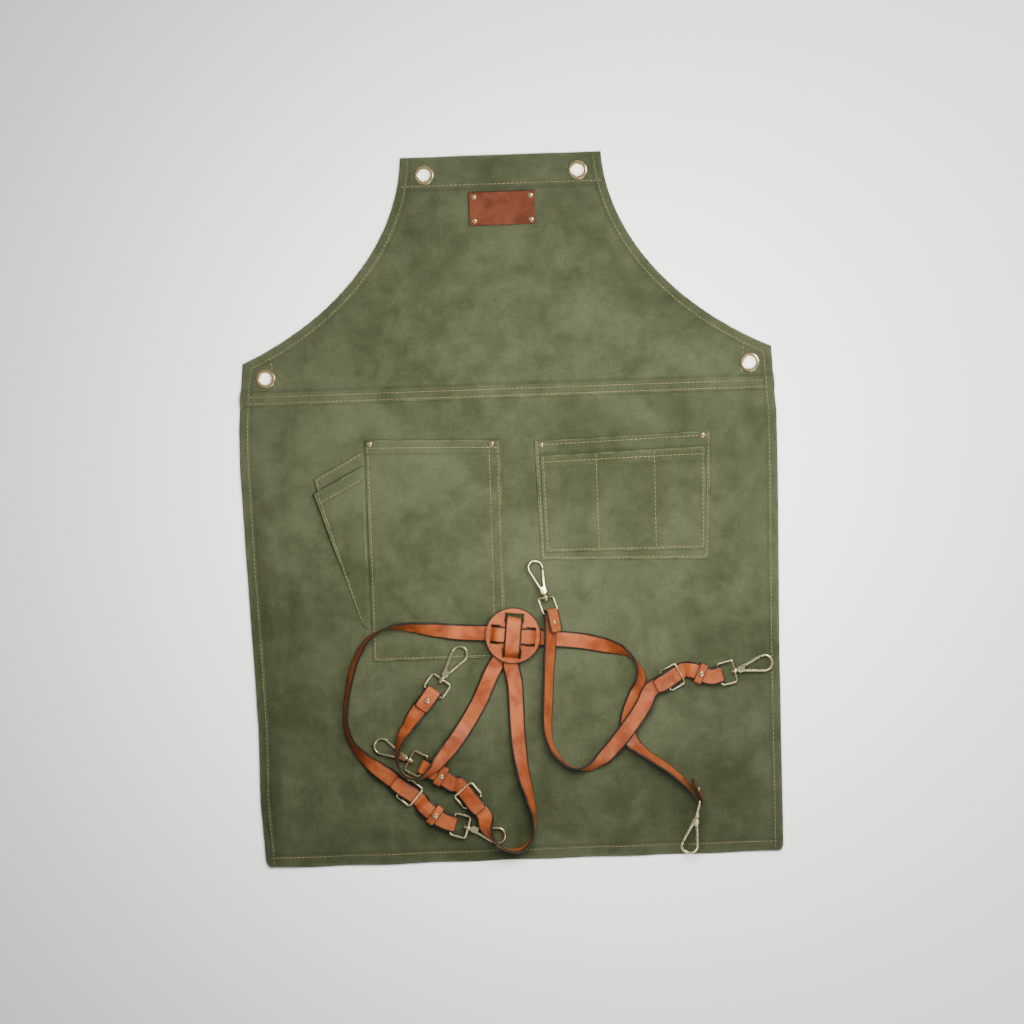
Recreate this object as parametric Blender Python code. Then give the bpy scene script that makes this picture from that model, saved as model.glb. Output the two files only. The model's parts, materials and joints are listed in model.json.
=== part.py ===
"""A canvas work apron lying flat, front up, with its cross-back leather harness laid on the skirt.

X is the wearer's right to left, Y runs from hem to bib, Z is up. The origin is on the surface that the
apron lies on, under the middle of the apron. Sizes are metres, angles degrees.
"""

import math

import bmesh
import bpy
from mathutils import Matrix, Vector

MM = 0.001
UP = Vector((0, 0, 1))

# Clearance between pieces that touch on the real apron
GAP = 0.3 * MM

# Apron cloth
LENGTH = 0.757
BIB_LENGTH = 0.255
BIB_TOP_WIDTH = 0.216
SHOULDER_WIDTH = 0.567
HIP_WIDTH = 0.575
SHOULDER_ABOVE_SEAM = 0.040
CORNER_PATCH = 0.040
CLOTH = 1.2 * MM
HEM_EXTRA = 1.0 * MM
HEM = 0.010
TOP_HEM = 0.034
HEM_STEP = 1.5 * MM
SEAM_LAP = 0.012

# Pockets: corners from the apron's middle, top left, top right, bottom right, bottom left
LEFT_POCKET = ((-0.156, 0.077), (-0.011, 0.073), (-0.012, -0.161), (-0.155, -0.161))
SIDE_POCKET_BACK = ((-0.212, 0.037), (-0.158, 0.066), (-0.158, 0.020), (-0.203, -0.004))
SIDE_POCKET = ((-0.213, 0.021), (-0.158, 0.050), (-0.158, -0.126), (-0.165, -0.122))
RIGHT_POCKET_BACK = ((0.026, 0.070), (0.216, 0.075), (0.209, -0.063), (0.029, -0.058))
RIGHT_POCKET = ((0.032, 0.054), (0.209, 0.058), (0.206, -0.052), (0.034, -0.050))
# Each pocket rivet's corner, and how far it is across from it and below it
POCKET_RIVETS = (
    (LEFT_POCKET[0], 0.0045, 0.0045),
    (LEFT_POCKET[1], -0.0095, 0.0045),
    (RIGHT_POCKET_BACK[0], 0.0065, 0.0045),
    (RIGHT_POCKET_BACK[1], -0.0100, 0.0050),
)
MOUTH_HEM = 0.014

# Eyelets, label and rivet caps
EYELET_HOLE_RADIUS = 6.5 * MM
EYELET_FLANGE_RADIUS = 10.5 * MM
EYELET_WALL = 0.6 * MM
EYELET_FLANGE = 0.6 * MM
EYELET_FROM_TOP = 0.0195
EYELET_FROM_CENTRE = 0.0825
SIDE_EYELET_IN = 0.0235
SIDE_EYELET_ABOVE_SEAM = 0.0230
LABEL_WIDTH = 0.071
LABEL_HEIGHT = 0.036
LABEL_THICKNESS = 2.0 * MM
LABEL_BELOW_TOP = 0.0575
RIVET_RADIUS = 3.0 * MM
RIVET_HEIGHT = 1.6 * MM

# Harness leather and its fittings
STRAP_WIDTH = 18 * MM
STRAP = 2.4 * MM
KEEPER_WIDTH = 9 * MM
KEEPER = 1.2 * MM
DISC_RADIUS = 30 * MM
DISC = 3.0 * MM
SLOT_NEAR = 14.0 * MM
SLOT_FAR = 24.0 * MM
SLOT_SPARE = 1.2 * MM
BAR_RADIUS = 1.25 * MM
BUCKLE_LENGTH = 18 * MM
RING_SPARE = 2.8 * MM
RING_CORNER = 1.6 * MM
LOOP_LENGTH = 17 * MM
END_FOLD = 22 * MM
HEEL_FOLD = 12 * MM
TAIL_FOLD = 27 * MM
KEEPER_FROM_BAR = 21 * MM
TIP_LENGTH = 12 * MM
TIP_CURL = 0.7 * MM

# Snap hook, measured from its strap bar: u along the hook, v across, w up
HOOK_WIRE = 1.5 * MM
HOOK_TIP_CENTRE = 50 * MM
HOOK_TIP_RADIUS = 8.2 * MM
BLOCK_START = 20.5 * MM
BLOCK_END = 28.5 * MM
BLOCK_HALF = 3.6 * MM
BLOCK_HALF_HEIGHT = 2.3 * MM
HOOK_LEG_OUT = 2.2 * MM
POST_RADIUS = 1.2 * MM
POST_HEAD_RADIUS = 2.3 * MM
BOSS_RADIUS = 3.0 * MM
BOSS_HALF = 2.2 * MM
GATE_EYE = 1.9 * MM
GATE_HALF = 1.0 * MM
GATE_PIN = 0.8 * MM
GATE_BORE = 1.05 * MM
GATE_NOSE_GAP = 0.5 * MM
GATE_U = 27.2 * MM
GATE_V = -2.4 * MM

# Heights that leather rests at, worked out from what lies beneath
TOP = LENGTH / 2
SEAM = TOP - BIB_LENGTH
ON_SKIRT = CLOTH + GAP
ON_POCKET = 2 * CLOTH + HEM_EXTRA + 2 * GAP
LAYER = STRAP + GAP
WRAP = BAR_RADIUS + GAP + STRAP / 2
UNDER_RIM = ON_POCKET + LAYER
DISC_LOW = UNDER_RIM + LAYER
OVER_DISC = DISC_LOW + DISC + GAP
OVER_CROSS = OVER_DISC + LAYER
BAR_HEIGHT = ON_SKIRT + STRAP / 2 + WRAP + GAP
ON_BAR = BAR_HEIGHT + WRAP - STRAP / 2
OVER_BUCKLE = ON_BAR + LAYER
TAIL_BAR_HEIGHT = BAR_HEIGHT + KEEPER + GAP
ON_TAIL_BAR = TAIL_BAR_HEIGHT + WRAP - STRAP / 2
OVER_TAIL = ON_TAIL_BAR + LAYER
OVER_HOOK = TAIL_BAR_HEIGHT + BLOCK_HALF_HEIGHT + GAP

# Disc: centre and turn of its slots
DISC_PLACE = Vector((-0.0043, -0.1375))
DISC_TURN = math.radians(-6.5)
ALONG = Vector((math.cos(DISC_TURN), math.sin(DISC_TURN)))
ACROSS = Vector((-math.sin(DISC_TURN), math.cos(DISC_TURN)))

# Buckles: centre, and the way from heel bar to front bar
BUCKLES = {
    "buckle_left": ((-0.1210, -0.3020), -40),
    "buckle_middle": ((-0.0585, -0.3074), 129),
    "buckle_right": ((0.1650, -0.1880), 28),
}

# The side line of the skirt: share of its length from the seam, share of half the hip width
SIDE_LINE = ((0.0, 0.986), (0.06, 0.998), (0.15, 1.0), (0.4, 0.990), (0.7, 0.975), (1.0, 0.967))

# Control points of the armhole's curve, as shares of its width and of its height
ARMHOLE_LEAVES_BIB = (0.023, 0.43)
ARMHOLE_MEETS_SHOULDER = (0.44, 0.80)

# Soft folds: middle as a share of half the hip width, and as a share of the bib's length above the
# seam or of the skirt's length below it; heading; half length and half width as shares of the same
# panel's length; height
FOLDS = (
    (0.00, 0.458, 1, 0.653, 0.074, 3.0 * MM),
    (-0.90, -0.834, 88, 0.226, 0.045, 5.0 * MM),
    (-0.92, -0.336, 92, 0.256, 0.038, 3.5 * MM),
    (0.90, -0.834, 95, 0.181, 0.045, 4.0 * MM),
    (0.91, -0.231, 90, 0.196, 0.038, 3.0 * MM),
    (-0.42, 0.258, 48, 0.267, 0.089, 2.5 * MM),
    (0.42, 0.258, -48, 0.267, 0.089, 2.5 * MM),
)


def new_material(name, colour, roughness, metallic=0.0):
    made = bpy.data.materials.new(name)
    made.use_nodes = True
    shader = made.node_tree.nodes["Principled BSDF"]
    shader.inputs["Base Color"].default_value = (*colour, 1)
    shader.inputs["Roughness"].default_value = roughness
    shader.inputs["Metallic"].default_value = metallic
    return made


def place_mesh(name, mesh, material, matrix=None):
    made = bpy.data.objects.new(name, mesh)
    bpy.context.scene.collection.objects.link(made)
    if not mesh.materials:
        mesh.materials.append(material)
    if matrix is not None:
        made.matrix_world = matrix
    return made


def mesh_from(name, points, faces, smooth_angle=None):
    mesh = bpy.data.meshes.new(name)
    mesh.from_pydata([tuple(p) for p in points], [], faces)
    shape = bmesh.new()
    shape.from_mesh(mesh)
    bmesh.ops.recalc_face_normals(shape, faces=shape.faces)
    shape.to_mesh(mesh)
    shape.free()
    if smooth_angle is not None:
        mesh.shade_smooth()
        mesh.set_sharp_from_angle(angle=math.radians(smooth_angle))
    return mesh


def combine(target, other, operation):
    """Joins or cuts target by other, applied at once, and removes other."""
    step = target.modifiers.new(operation, "BOOLEAN")
    step.operation = operation
    step.object = other
    step.solver = "EXACT"
    bpy.context.view_layer.update()
    graph = bpy.context.evaluated_depsgraph_get()
    mesh = bpy.data.meshes.new_from_object(target.evaluated_get(graph))
    target.modifiers.clear()
    target.data = mesh
    bpy.data.objects.remove(other)
    return target


def scratch(points, faces):
    made = bpy.data.objects.new("tool", mesh_from("tool", points, faces))
    bpy.context.scene.collection.objects.link(made)
    return made


def prism(outline, low, high):
    """Points and faces of a flat outline, a list of (x, y), raised from low to high."""
    count = len(outline)
    points = [(x, y, low) for x, y in outline] + [(x, y, high) for x, y in outline]
    walls = [(i, (i + 1) % count, count + (i + 1) % count, count + i) for i in range(count)]
    return points, [tuple(range(count))[::-1], tuple(range(count, 2 * count)), *walls]


def circle(x, y, radius, sides, start=0.0):
    turns = [start + 2 * math.pi * i / sides for i in range(sides)]
    return [(x + radius * math.cos(a), y + radius * math.sin(a)) for a in turns]


def box_outline(x0, x1, y0, y1):
    return [(x0, y0), (x1, y0), (x1, y1), (x0, y1)]


def turned(profile, sides):
    """Points and faces of a closed (radius, height) profile spun about Z, off the axis all round."""
    count = len(profile)
    points = [
        (r * math.cos(a), r * math.sin(a), z)
        for a in (2 * math.pi * i / sides for i in range(sides))
        for r, z in profile
    ]
    faces = []
    for i in range(sides):
        here, there = i * count, (i + 1) % sides * count
        for j in range(count):
            k = (j + 1) % count
            faces.append((here + j, there + j, there + k, here + k))
    return points, faces


def cap(profile, sides):
    """As turned, for a profile from the middle of the base to the top point on the axis."""
    points = [(0, 0, profile[0][1])]
    for r, z in profile[1:-1]:
        points += [(x, y, z) for x, y in circle(0, 0, r, sides)]
    points.append((0, 0, profile[-1][1]))
    rings, last, faces = len(profile) - 2, len(points) - 1, []
    for i in range(sides):
        k = (i + 1) % sides
        faces.append((0, 1 + k, 1 + i))
        for j in range(rings - 1):
            a, b = 1 + j * sides, 1 + (j + 1) * sides
            faces.append((a + i, a + k, b + k, b + i))
        top = 1 + (rings - 1) * sides
        faces.append((top + i, top + k, last))
    return points, faces


def grid_solid(rows):
    """Points and faces of a sheet from rows of (x, y, low, high), each row as long as the others."""
    across = len(rows[0])
    flat = [cell for row in rows for cell in row]
    points = [(x, y, low) for x, y, low, _ in flat] + [(x, y, high) for x, y, _, high in flat]
    above, faces = len(flat), []
    for i in range(len(rows) - 1):
        for j in range(across - 1):
            a, b = i * across + j, (i + 1) * across + j
            faces.append((a, b, b + 1, a + 1))
            faces.append((above + a, above + a + 1, above + b + 1, above + b))
    rim = [j for j in range(across)]
    rim += [i * across + across - 1 for i in range(1, len(rows))]
    rim += [(len(rows) - 1) * across + j for j in range(across - 2, -1, -1)]
    rim += [i * across for i in range(len(rows) - 2, 0, -1)]
    for a, b in zip(rim, rim[1:] + rim[:1]):
        faces.append((a, b, above + b, above + a))
    return points, faces


def smooth_step(share):
    return share * share * (3 - 2 * share)


def fold_lift(x, y):
    """How far the soft folds lift the cloth off the surface at a place."""
    lift = 0.0
    for across, up, heading, long, wide, height in FOLDS:
        panel = BIB_LENGTH if up > 0 else LENGTH - BIB_LENGTH
        dx, dy = x - across * HIP_WIDTH / 2, y - SEAM - up * panel
        turn = math.radians(heading)
        run = (dx * math.cos(turn) + dy * math.sin(turn)) / (long * panel)
        side = (dy * math.cos(turn) - dx * math.sin(turn)) / (wide * panel)
        if abs(run) < 1 and abs(side) < 1:
            lift = max(lift, height * (1 - run * run) ** 2 * (1 - side * side) ** 2)
    return lift


def side_line(share):
    """Half the skirt's width at a share of its length from the seam."""
    for (s0, w0), (s1, w1) in zip(SIDE_LINE, SIDE_LINE[1:]):
        if share <= s1:
            part = (share - s0) / (s1 - s0)
            return (w0 + (w1 - w0) * part) * HIP_WIDTH / 2
    return SIDE_LINE[-1][1] * HIP_WIDTH / 2


def armhole(share):
    """A point of the armhole's curve, from the bib's top corner at 0 to the shoulder at 1."""
    x0, y0 = BIB_TOP_WIDTH / 2, TOP
    x3, y3 = SHOULDER_WIDTH / 2, SEAM + SHOULDER_ABOVE_SEAM
    x1 = x0 + ARMHOLE_LEAVES_BIB[0] * (x3 - x0)
    y1 = y0 + ARMHOLE_LEAVES_BIB[1] * (y3 - y0)
    x2 = x0 + ARMHOLE_MEETS_SHOULDER[0] * (x3 - x0)
    y2 = y0 + ARMHOLE_MEETS_SHOULDER[1] * (y3 - y0)
    back = 1 - share
    weights = (back**3, 3 * back * back * share, 3 * back * share * share, share**3)
    return (
        sum(w * x for w, x in zip(weights, (x0, x1, x2, x3))),
        sum(w * y for w, y in zip(weights, (y0, y1, y2, y3))),
    )


def columns(half, shares, hem):
    """Places across a row: the hem's two edges at each side, and shares of what lies between."""
    inner = half - hem - HEM_STEP
    middle = [inner * s for s in shares]
    return [-half, -half + hem, *middle, half - hem, half]


def cloth_row(y, half, shares, low, doubled_from):
    """One row of a panel: places across with their underside and upper side. The cloth is double
    in the side hems, and from doubled_from, a distance from the middle line, outwards."""
    row = []
    places = columns(half, shares, HEM)
    for i, x in enumerate(places):
        doubled = i < 2 or i > len(places) - 3 or abs(x) >= doubled_from
        under = low + fold_lift(x, y)
        thick = CLOTH + (HEM_EXTRA if doubled else 0)
        row.append((x, y, under, under + thick))
    return row


def armhole_at(y):
    """Half the bib's width at a height on the armhole."""
    low, high = 0.0, 1.0
    for _ in range(40):
        middle = (low + high) / 2
        if armhole(middle)[1] > y:
            low = middle
        else:
            high = middle
    return armhole(low)[0]


def bib_rows():
    shares = [-1, -0.9, -0.75, -0.5, -0.25, 0, 0.25, 0.5, 0.75, 0.9, 1]
    lap_top = SEAM + SEAM_LAP / 2 + MM
    over_skirt = CLOTH + HEM_EXTRA + GAP
    hip, shoulder = side_line(0), SEAM + SHOULDER_ABOVE_SEAM
    corner = shoulder - 3 * MM
    patch_from = hip - CORNER_PATCH
    rows = [
        cloth_row(SEAM - SEAM_LAP / 2, hip, shares, over_skirt, hip),
        cloth_row(lap_top, hip, shares, over_skirt, hip),
        cloth_row(lap_top + 3 * HEM_STEP, hip, shares, 0, patch_from),
        cloth_row(corner - HEM_STEP, hip, shares, 0, patch_from),
        cloth_row(corner, hip, shares, 0, hip),
    ]
    steps = 13
    for i in range(steps, -1, -1):
        half, y = armhole(i / steps)
        if y < TOP - TOP_HEM - HEM_STEP:
            rows.append(cloth_row(y, half, shares, 0, hip))
    for y, doubled_from in ((TOP - TOP_HEM, hip), (TOP - TOP_HEM + HEM_STEP, 0), (TOP, 0)):
        rows.append(cloth_row(y, armhole_at(y), shares, 0, doubled_from))
    return rows


def skirt_rows():
    shares = [-1, -0.94, -0.88, -0.82, -0.72, -0.5, -0.25, 0]
    shares = shares + [-s for s in reversed(shares[:-1])]
    length, hip = LENGTH - BIB_LENGTH, HIP_WIDTH / 2
    rows = [
        cloth_row(-TOP, side_line(1), shares, 0, 0),
        cloth_row(-TOP + HEM, side_line(1), shares, 0, 0),
    ]
    steps = 13
    bottom, top = -TOP + HEM + HEM_STEP, SEAM - SEAM_LAP
    for i in range(steps + 1):
        y = bottom + (top - bottom) * i / steps
        rows.append(cloth_row(y, side_line((SEAM - y) / length), shares, 0, hip))
    rows.append(cloth_row(SEAM + SEAM_LAP / 2, side_line(0), shares, 0, hip))
    return rows


def patch(corners, across, down, low, bulge, settle=None):
    """Rows of a pocket: a sheet between four corners, its mouth hemmed and lifted by the bulge."""
    top_left, top_right, bottom_right, bottom_left = (Vector(c) for c in corners)
    depth = (top_left - bottom_left).length
    shares = [0, 1 / down, *(i / down for i in range(2, down))]
    shares += [1 - (MOUTH_HEM + HEM_STEP) / depth, 1 - MOUTH_HEM / depth, 1]
    rows = []
    for v in sorted(shares):
        left, right = bottom_left.lerp(top_left, v), bottom_right.lerp(top_right, v)
        row = []
        for i in range(across + 1):
            u = i / across
            place = left.lerp(right, u)
            under = low + bulge * math.sin(math.pi * u) * v**3
            if settle:
                under -= settle(v)
            thick = CLOTH + (HEM_EXTRA if v >= 1 - MOUTH_HEM / depth - 1e-9 else 0)
            row.append((place.x, place.y, under, under + thick))
        rows.append(row)
    return rows


def settle_below_back(v):
    """The side pocket lies on its back layer at the mouth and on the skirt below it."""
    start, end = 0.60, 0.42
    share = min(1, max(0, (start - v) / (start - end)))
    return (CLOTH + HEM_EXTRA + GAP) * smooth_step(share)


def add_cloth(cloth):
    bib = place_mesh("bib_panel", mesh_from("bib_panel", *grid_solid(bib_rows())), cloth)
    hole, seat = EYELET_HOLE_RADIUS + EYELET_WALL + GAP, EYELET_FLANGE_RADIUS + GAP
    pressed = EYELET_FLANGE + 2 * GAP
    for x, y in eyelet_places():
        profile = (
            (0, -CLOTH),
            (seat, -CLOTH),
            (seat, pressed),
            (hole, pressed),
            (hole, 4 * CLOTH),
            (0, 4 * CLOTH),
        )
        points, faces = cap(profile, 16)
        cutter = scratch([Vector((x, y, 0)) + Vector(p) for p in points], faces)
        bib = combine(bib, cutter, "DIFFERENCE")
    place_mesh("skirt_panel", mesh_from("skirt_panel", *grid_solid(skirt_rows())), cloth)
    second = ON_SKIRT + CLOTH + HEM_EXTRA + GAP
    for name, corners, across, down, low, bulge, settle in (
        ("pocket_left", LEFT_POCKET, 8, 6, ON_SKIRT, 2.5 * MM, None),
        ("pocket_side_back", SIDE_POCKET_BACK, 3, 2, ON_SKIRT, 0, None),
        ("pocket_side", SIDE_POCKET, 4, 8, second, 1.5 * MM, settle_below_back),
        ("pocket_right_back", RIGHT_POCKET_BACK, 6, 4, ON_SKIRT, 0, None),
        ("pocket_right", RIGHT_POCKET, 8, 5, ON_SKIRT + CLOTH + GAP, 2.5 * MM, None),
    ):
        rows = patch(corners, across, down, low, bulge, settle)
        place_mesh(name, mesh_from(name, *grid_solid(rows)), cloth)


def eyelet_places():
    side_x = SHOULDER_WIDTH / 2 - SIDE_EYELET_IN
    return (
        (-EYELET_FROM_CENTRE, TOP - EYELET_FROM_TOP),
        (EYELET_FROM_CENTRE, TOP - EYELET_FROM_TOP),
        (-side_x, SEAM + SIDE_EYELET_ABOVE_SEAM),
        (side_x, SEAM + SIDE_EYELET_ABOVE_SEAM),
    )


def add_eyelets(brass):
    """Two flanges and a barrel between them. The cloth is pressed thin under the lower flange."""
    names = ("eyelet_top_left", "eyelet_top_right", "eyelet_side_left", "eyelet_side_right")
    in_r, out_r, wall = EYELET_HOLE_RADIUS, EYELET_FLANGE_RADIUS, EYELET_WALL
    base = 0.1 * MM
    seat = CLOTH + HEM_EXTRA + GAP
    for name, (x, y) in zip(names, eyelet_places()):
        profile = (
            (in_r, base),
            (out_r, base),
            (out_r, base + EYELET_FLANGE),
            (in_r + wall, base + EYELET_FLANGE),
            (in_r + wall, seat),
            (out_r, seat),
            ((in_r + out_r) / 2, seat + 1.6 * EYELET_FLANGE),
            (in_r, seat + EYELET_FLANGE),
        )
        mesh = mesh_from(name, *turned(profile, 16), smooth_angle=40)
        place_mesh(name, mesh, brass, Matrix.Translation((x, y, 0)))


def rivet_mesh():
    profile = (
        (0, 0),
        (RIVET_RADIUS, 0),
        (RIVET_RADIUS * 0.75, RIVET_HEIGHT * 0.8),
        (0, RIVET_HEIGHT),
    )
    return mesh_from("rivet", *cap(profile, 8), smooth_angle=60)


def add_label(leather, brass, rivet):
    middle = TOP - LABEL_BELOW_TOP
    low = CLOTH + GAP
    outline = box_outline(
        -LABEL_WIDTH / 2, LABEL_WIDTH / 2, middle - LABEL_HEIGHT / 2, middle + LABEL_HEIGHT / 2
    )
    label = mesh_from("label", *prism(outline, low, low + LABEL_THICKNESS))
    place_mesh("label", label, leather)
    inset = 1.7 * RIVET_RADIUS
    number = 0
    for sx in (-1, 1):
        for sy in (-1, 1):
            number += 1
            place = (
                sx * (LABEL_WIDTH / 2 - inset),
                middle + sy * (LABEL_HEIGHT / 2 - inset),
                low + LABEL_THICKNESS + GAP,
            )
            matrix = Matrix.Translation(place)
            place_mesh(f"label_rivet_{number}", rivet, brass, matrix)


def add_pocket_rivets(brass, rivet):
    high = ON_SKIRT + CLOTH + HEM_EXTRA + GAP
    for number, (corner, across, down) in enumerate(POCKET_RIVETS, start=1):
        lift = 0.8 * MM if number < 3 else 0
        place = (corner[0] + across, corner[1] - down, high + lift)
        place_mesh(f"pocket_rivet_{number}", rivet, brass, Matrix.Translation(place))


class Station:
    """One section of a strap: its middle, and the way its width runs."""

    def __init__(self, middle, width):
        self.middle = Vector(middle)
        self.width = Vector(width).normalized()


def heading_of(angle):
    turn = math.radians(angle)
    return Vector((math.cos(turn), math.sin(turn)))


def route(rows):
    """Stations along rows of (x, y, base height, roll): a curve through the places, heights and
    rolls eased from row to row. At roll 0 the strap lies flat, at 90 it stands on its edge."""
    places = [Vector(r[:2]) for r in rows]
    before = 2 * places[0] - places[1]
    after = 2 * places[-1] - places[-2]
    whole = [before, *places, after]
    stations = []
    for i in range(len(rows) - 1):
        p0, p1, p2, p3 = whole[i : i + 4]
        rise, twist = abs(rows[i + 1][2] - rows[i][2]), abs(rows[i + 1][3] - rows[i][3])
        run = (p2 - p1).length
        count = max(1, math.ceil(max(run / (10 * MM), rise / (2 * MM), twist / 17)))
        last = i == len(rows) - 2
        for k in range(count + last):
            t = k / count
            ease = smooth_step(t)
            place = (
                p1 * 2
                + (p2 - p0) * t
                + (p0 * 2 - p1 * 5 + p2 * 4 - p3) * t * t
                + (p1 * 3 - p0 - p2 * 3 + p3) * t**3
            ) / 2
            way = (
                (p2 - p0)
                + (p0 * 2 - p1 * 5 + p2 * 4 - p3) * 2 * t
                + (p1 * 3 - p0 - p2 * 3 + p3) * 3 * t * t
            ).normalized()
            base = rows[i][2] + (rows[i + 1][2] - rows[i][2]) * ease
            roll = math.radians(rows[i][3] + (rows[i + 1][3] - rows[i][3]) * ease)
            side = Vector((way.y, -way.x, 0))
            width = side * math.cos(roll) + UP * math.sin(roll)
            reach = abs(math.sin(roll)) * STRAP_WIDTH / 2 + abs(math.cos(roll)) * STRAP / 2
            stations.append(Station((place.x, place.y, base + reach), width))
    return stations


def wrap(end, outward, bar_side, length, half_turn=6):
    """Stations that carry a strap's end round a bar beside it and back by a length."""
    out, side = Vector(outward).normalized(), Vector(bar_side).normalized()
    bar = end.middle + side * WRAP
    stations = []
    for i in range(1, half_turn + 1):
        turn = math.pi * i / half_turn
        arc = -side * math.cos(turn) + out * math.sin(turn)
        stations.append(Station(bar + arc * WRAP, end.width))
    stations.append(Station(bar + side * WRAP - out * length, end.width))
    return stations


def hook_end(stations):
    """The station at a strap's hook end with its width square to the strap, the way out of the
    end, and the face normal that points up."""
    first = stations[0]
    outward = (first.middle - stations[1].middle).normalized()
    width = (first.width - outward * first.width.dot(outward)).normalized()
    normal = outward.cross(width).normalized()
    return Station(first.middle, width), outward, normal if normal.z > 0 else -normal


def ribbon(name, stations, leather):
    """A strap swept through its stations as one solid."""
    points, faces = [], []
    count = len(stations)
    for i, station in enumerate(stations):
        back, front = stations[max(i - 1, 0)].middle, stations[min(i + 1, count - 1)].middle
        way = (front - back).normalized()
        width = (station.width - way * station.width.dot(way)).normalized()
        normal = way.cross(width)
        half, thick = width * STRAP_WIDTH / 2, normal * STRAP / 2
        for a, b in ((-1, -1), (1, -1), (1, 1), (-1, 1)):
            points.append(station.middle + half * a + thick * b)
    for i in range(count - 1):
        a, b = 4 * i, 4 * i + 4
        for j in range(4):
            k = (j + 1) % 4
            faces.append((a + j, a + k, b + k, b + j))
    faces += [(3, 2, 1, 0), tuple(4 * (count - 1) + j for j in range(4))]
    return place_mesh(name, mesh_from(name, points, faces, smooth_angle=50), leather)


def wire(points, normal, radius, sides, closed):
    """Points and faces of a round wire through points that lie in one plane."""
    count, normal = len(points), Vector(normal)
    made, faces = [], []
    for i, p in enumerate(points):
        back = points[(i - 1) % count] if closed or i else p
        front = points[(i + 1) % count] if closed or i < count - 1 else p
        way = (Vector(front) - Vector(back)).normalized()
        out = normal.cross(way)
        bend = 1.0
        if closed or 0 < i < count - 1:
            first = (Vector(p) - Vector(back)).normalized()
            bend = 1 / max(0.7, first.dot(way))
        for j in range(sides):
            turn = 2 * math.pi * (j + 0.5) / sides
            made.append(
                Vector(p) + out * radius * bend * math.cos(turn) + normal * radius * math.sin(turn)
            )
    rings = count if closed else count - 1
    for i in range(rings):
        a, b = i * sides, (i + 1) % count * sides
        for j in range(sides):
            k = (j + 1) % sides
            faces.append((a + j, a + k, b + k, b + j))
    if not closed:
        faces.append(tuple(range(sides))[::-1])
        faces.append(tuple((count - 1) * sides + j for j in range(sides)))
    return made, faces


def ring_points(start, end, half, corner):
    """A rectangle of wire with cut corners, from start to end along X, half across."""
    points = []
    for x, y, sx, sy in (
        (start, -half, 1, 1),
        (end, -half, -1, 1),
        (end, half, -1, -1),
        (start, half, 1, -1),
    ):
        first, second = Vector((x, y + sy * corner, 0)), Vector((x + sx * corner, y, 0))
        points += [first, second] if sx * sy > 0 else [second, first]
    return points


def frame_matrix(origin, along, across):
    """Local X along, local Y across, local Z their cross product."""
    x = Vector(along).normalized()
    z = x.cross(Vector(across)).normalized()
    y = z.cross(x)
    turn = Matrix((x, y, z)).transposed().to_4x4()
    return Matrix.Translation(origin) @ turn


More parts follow.
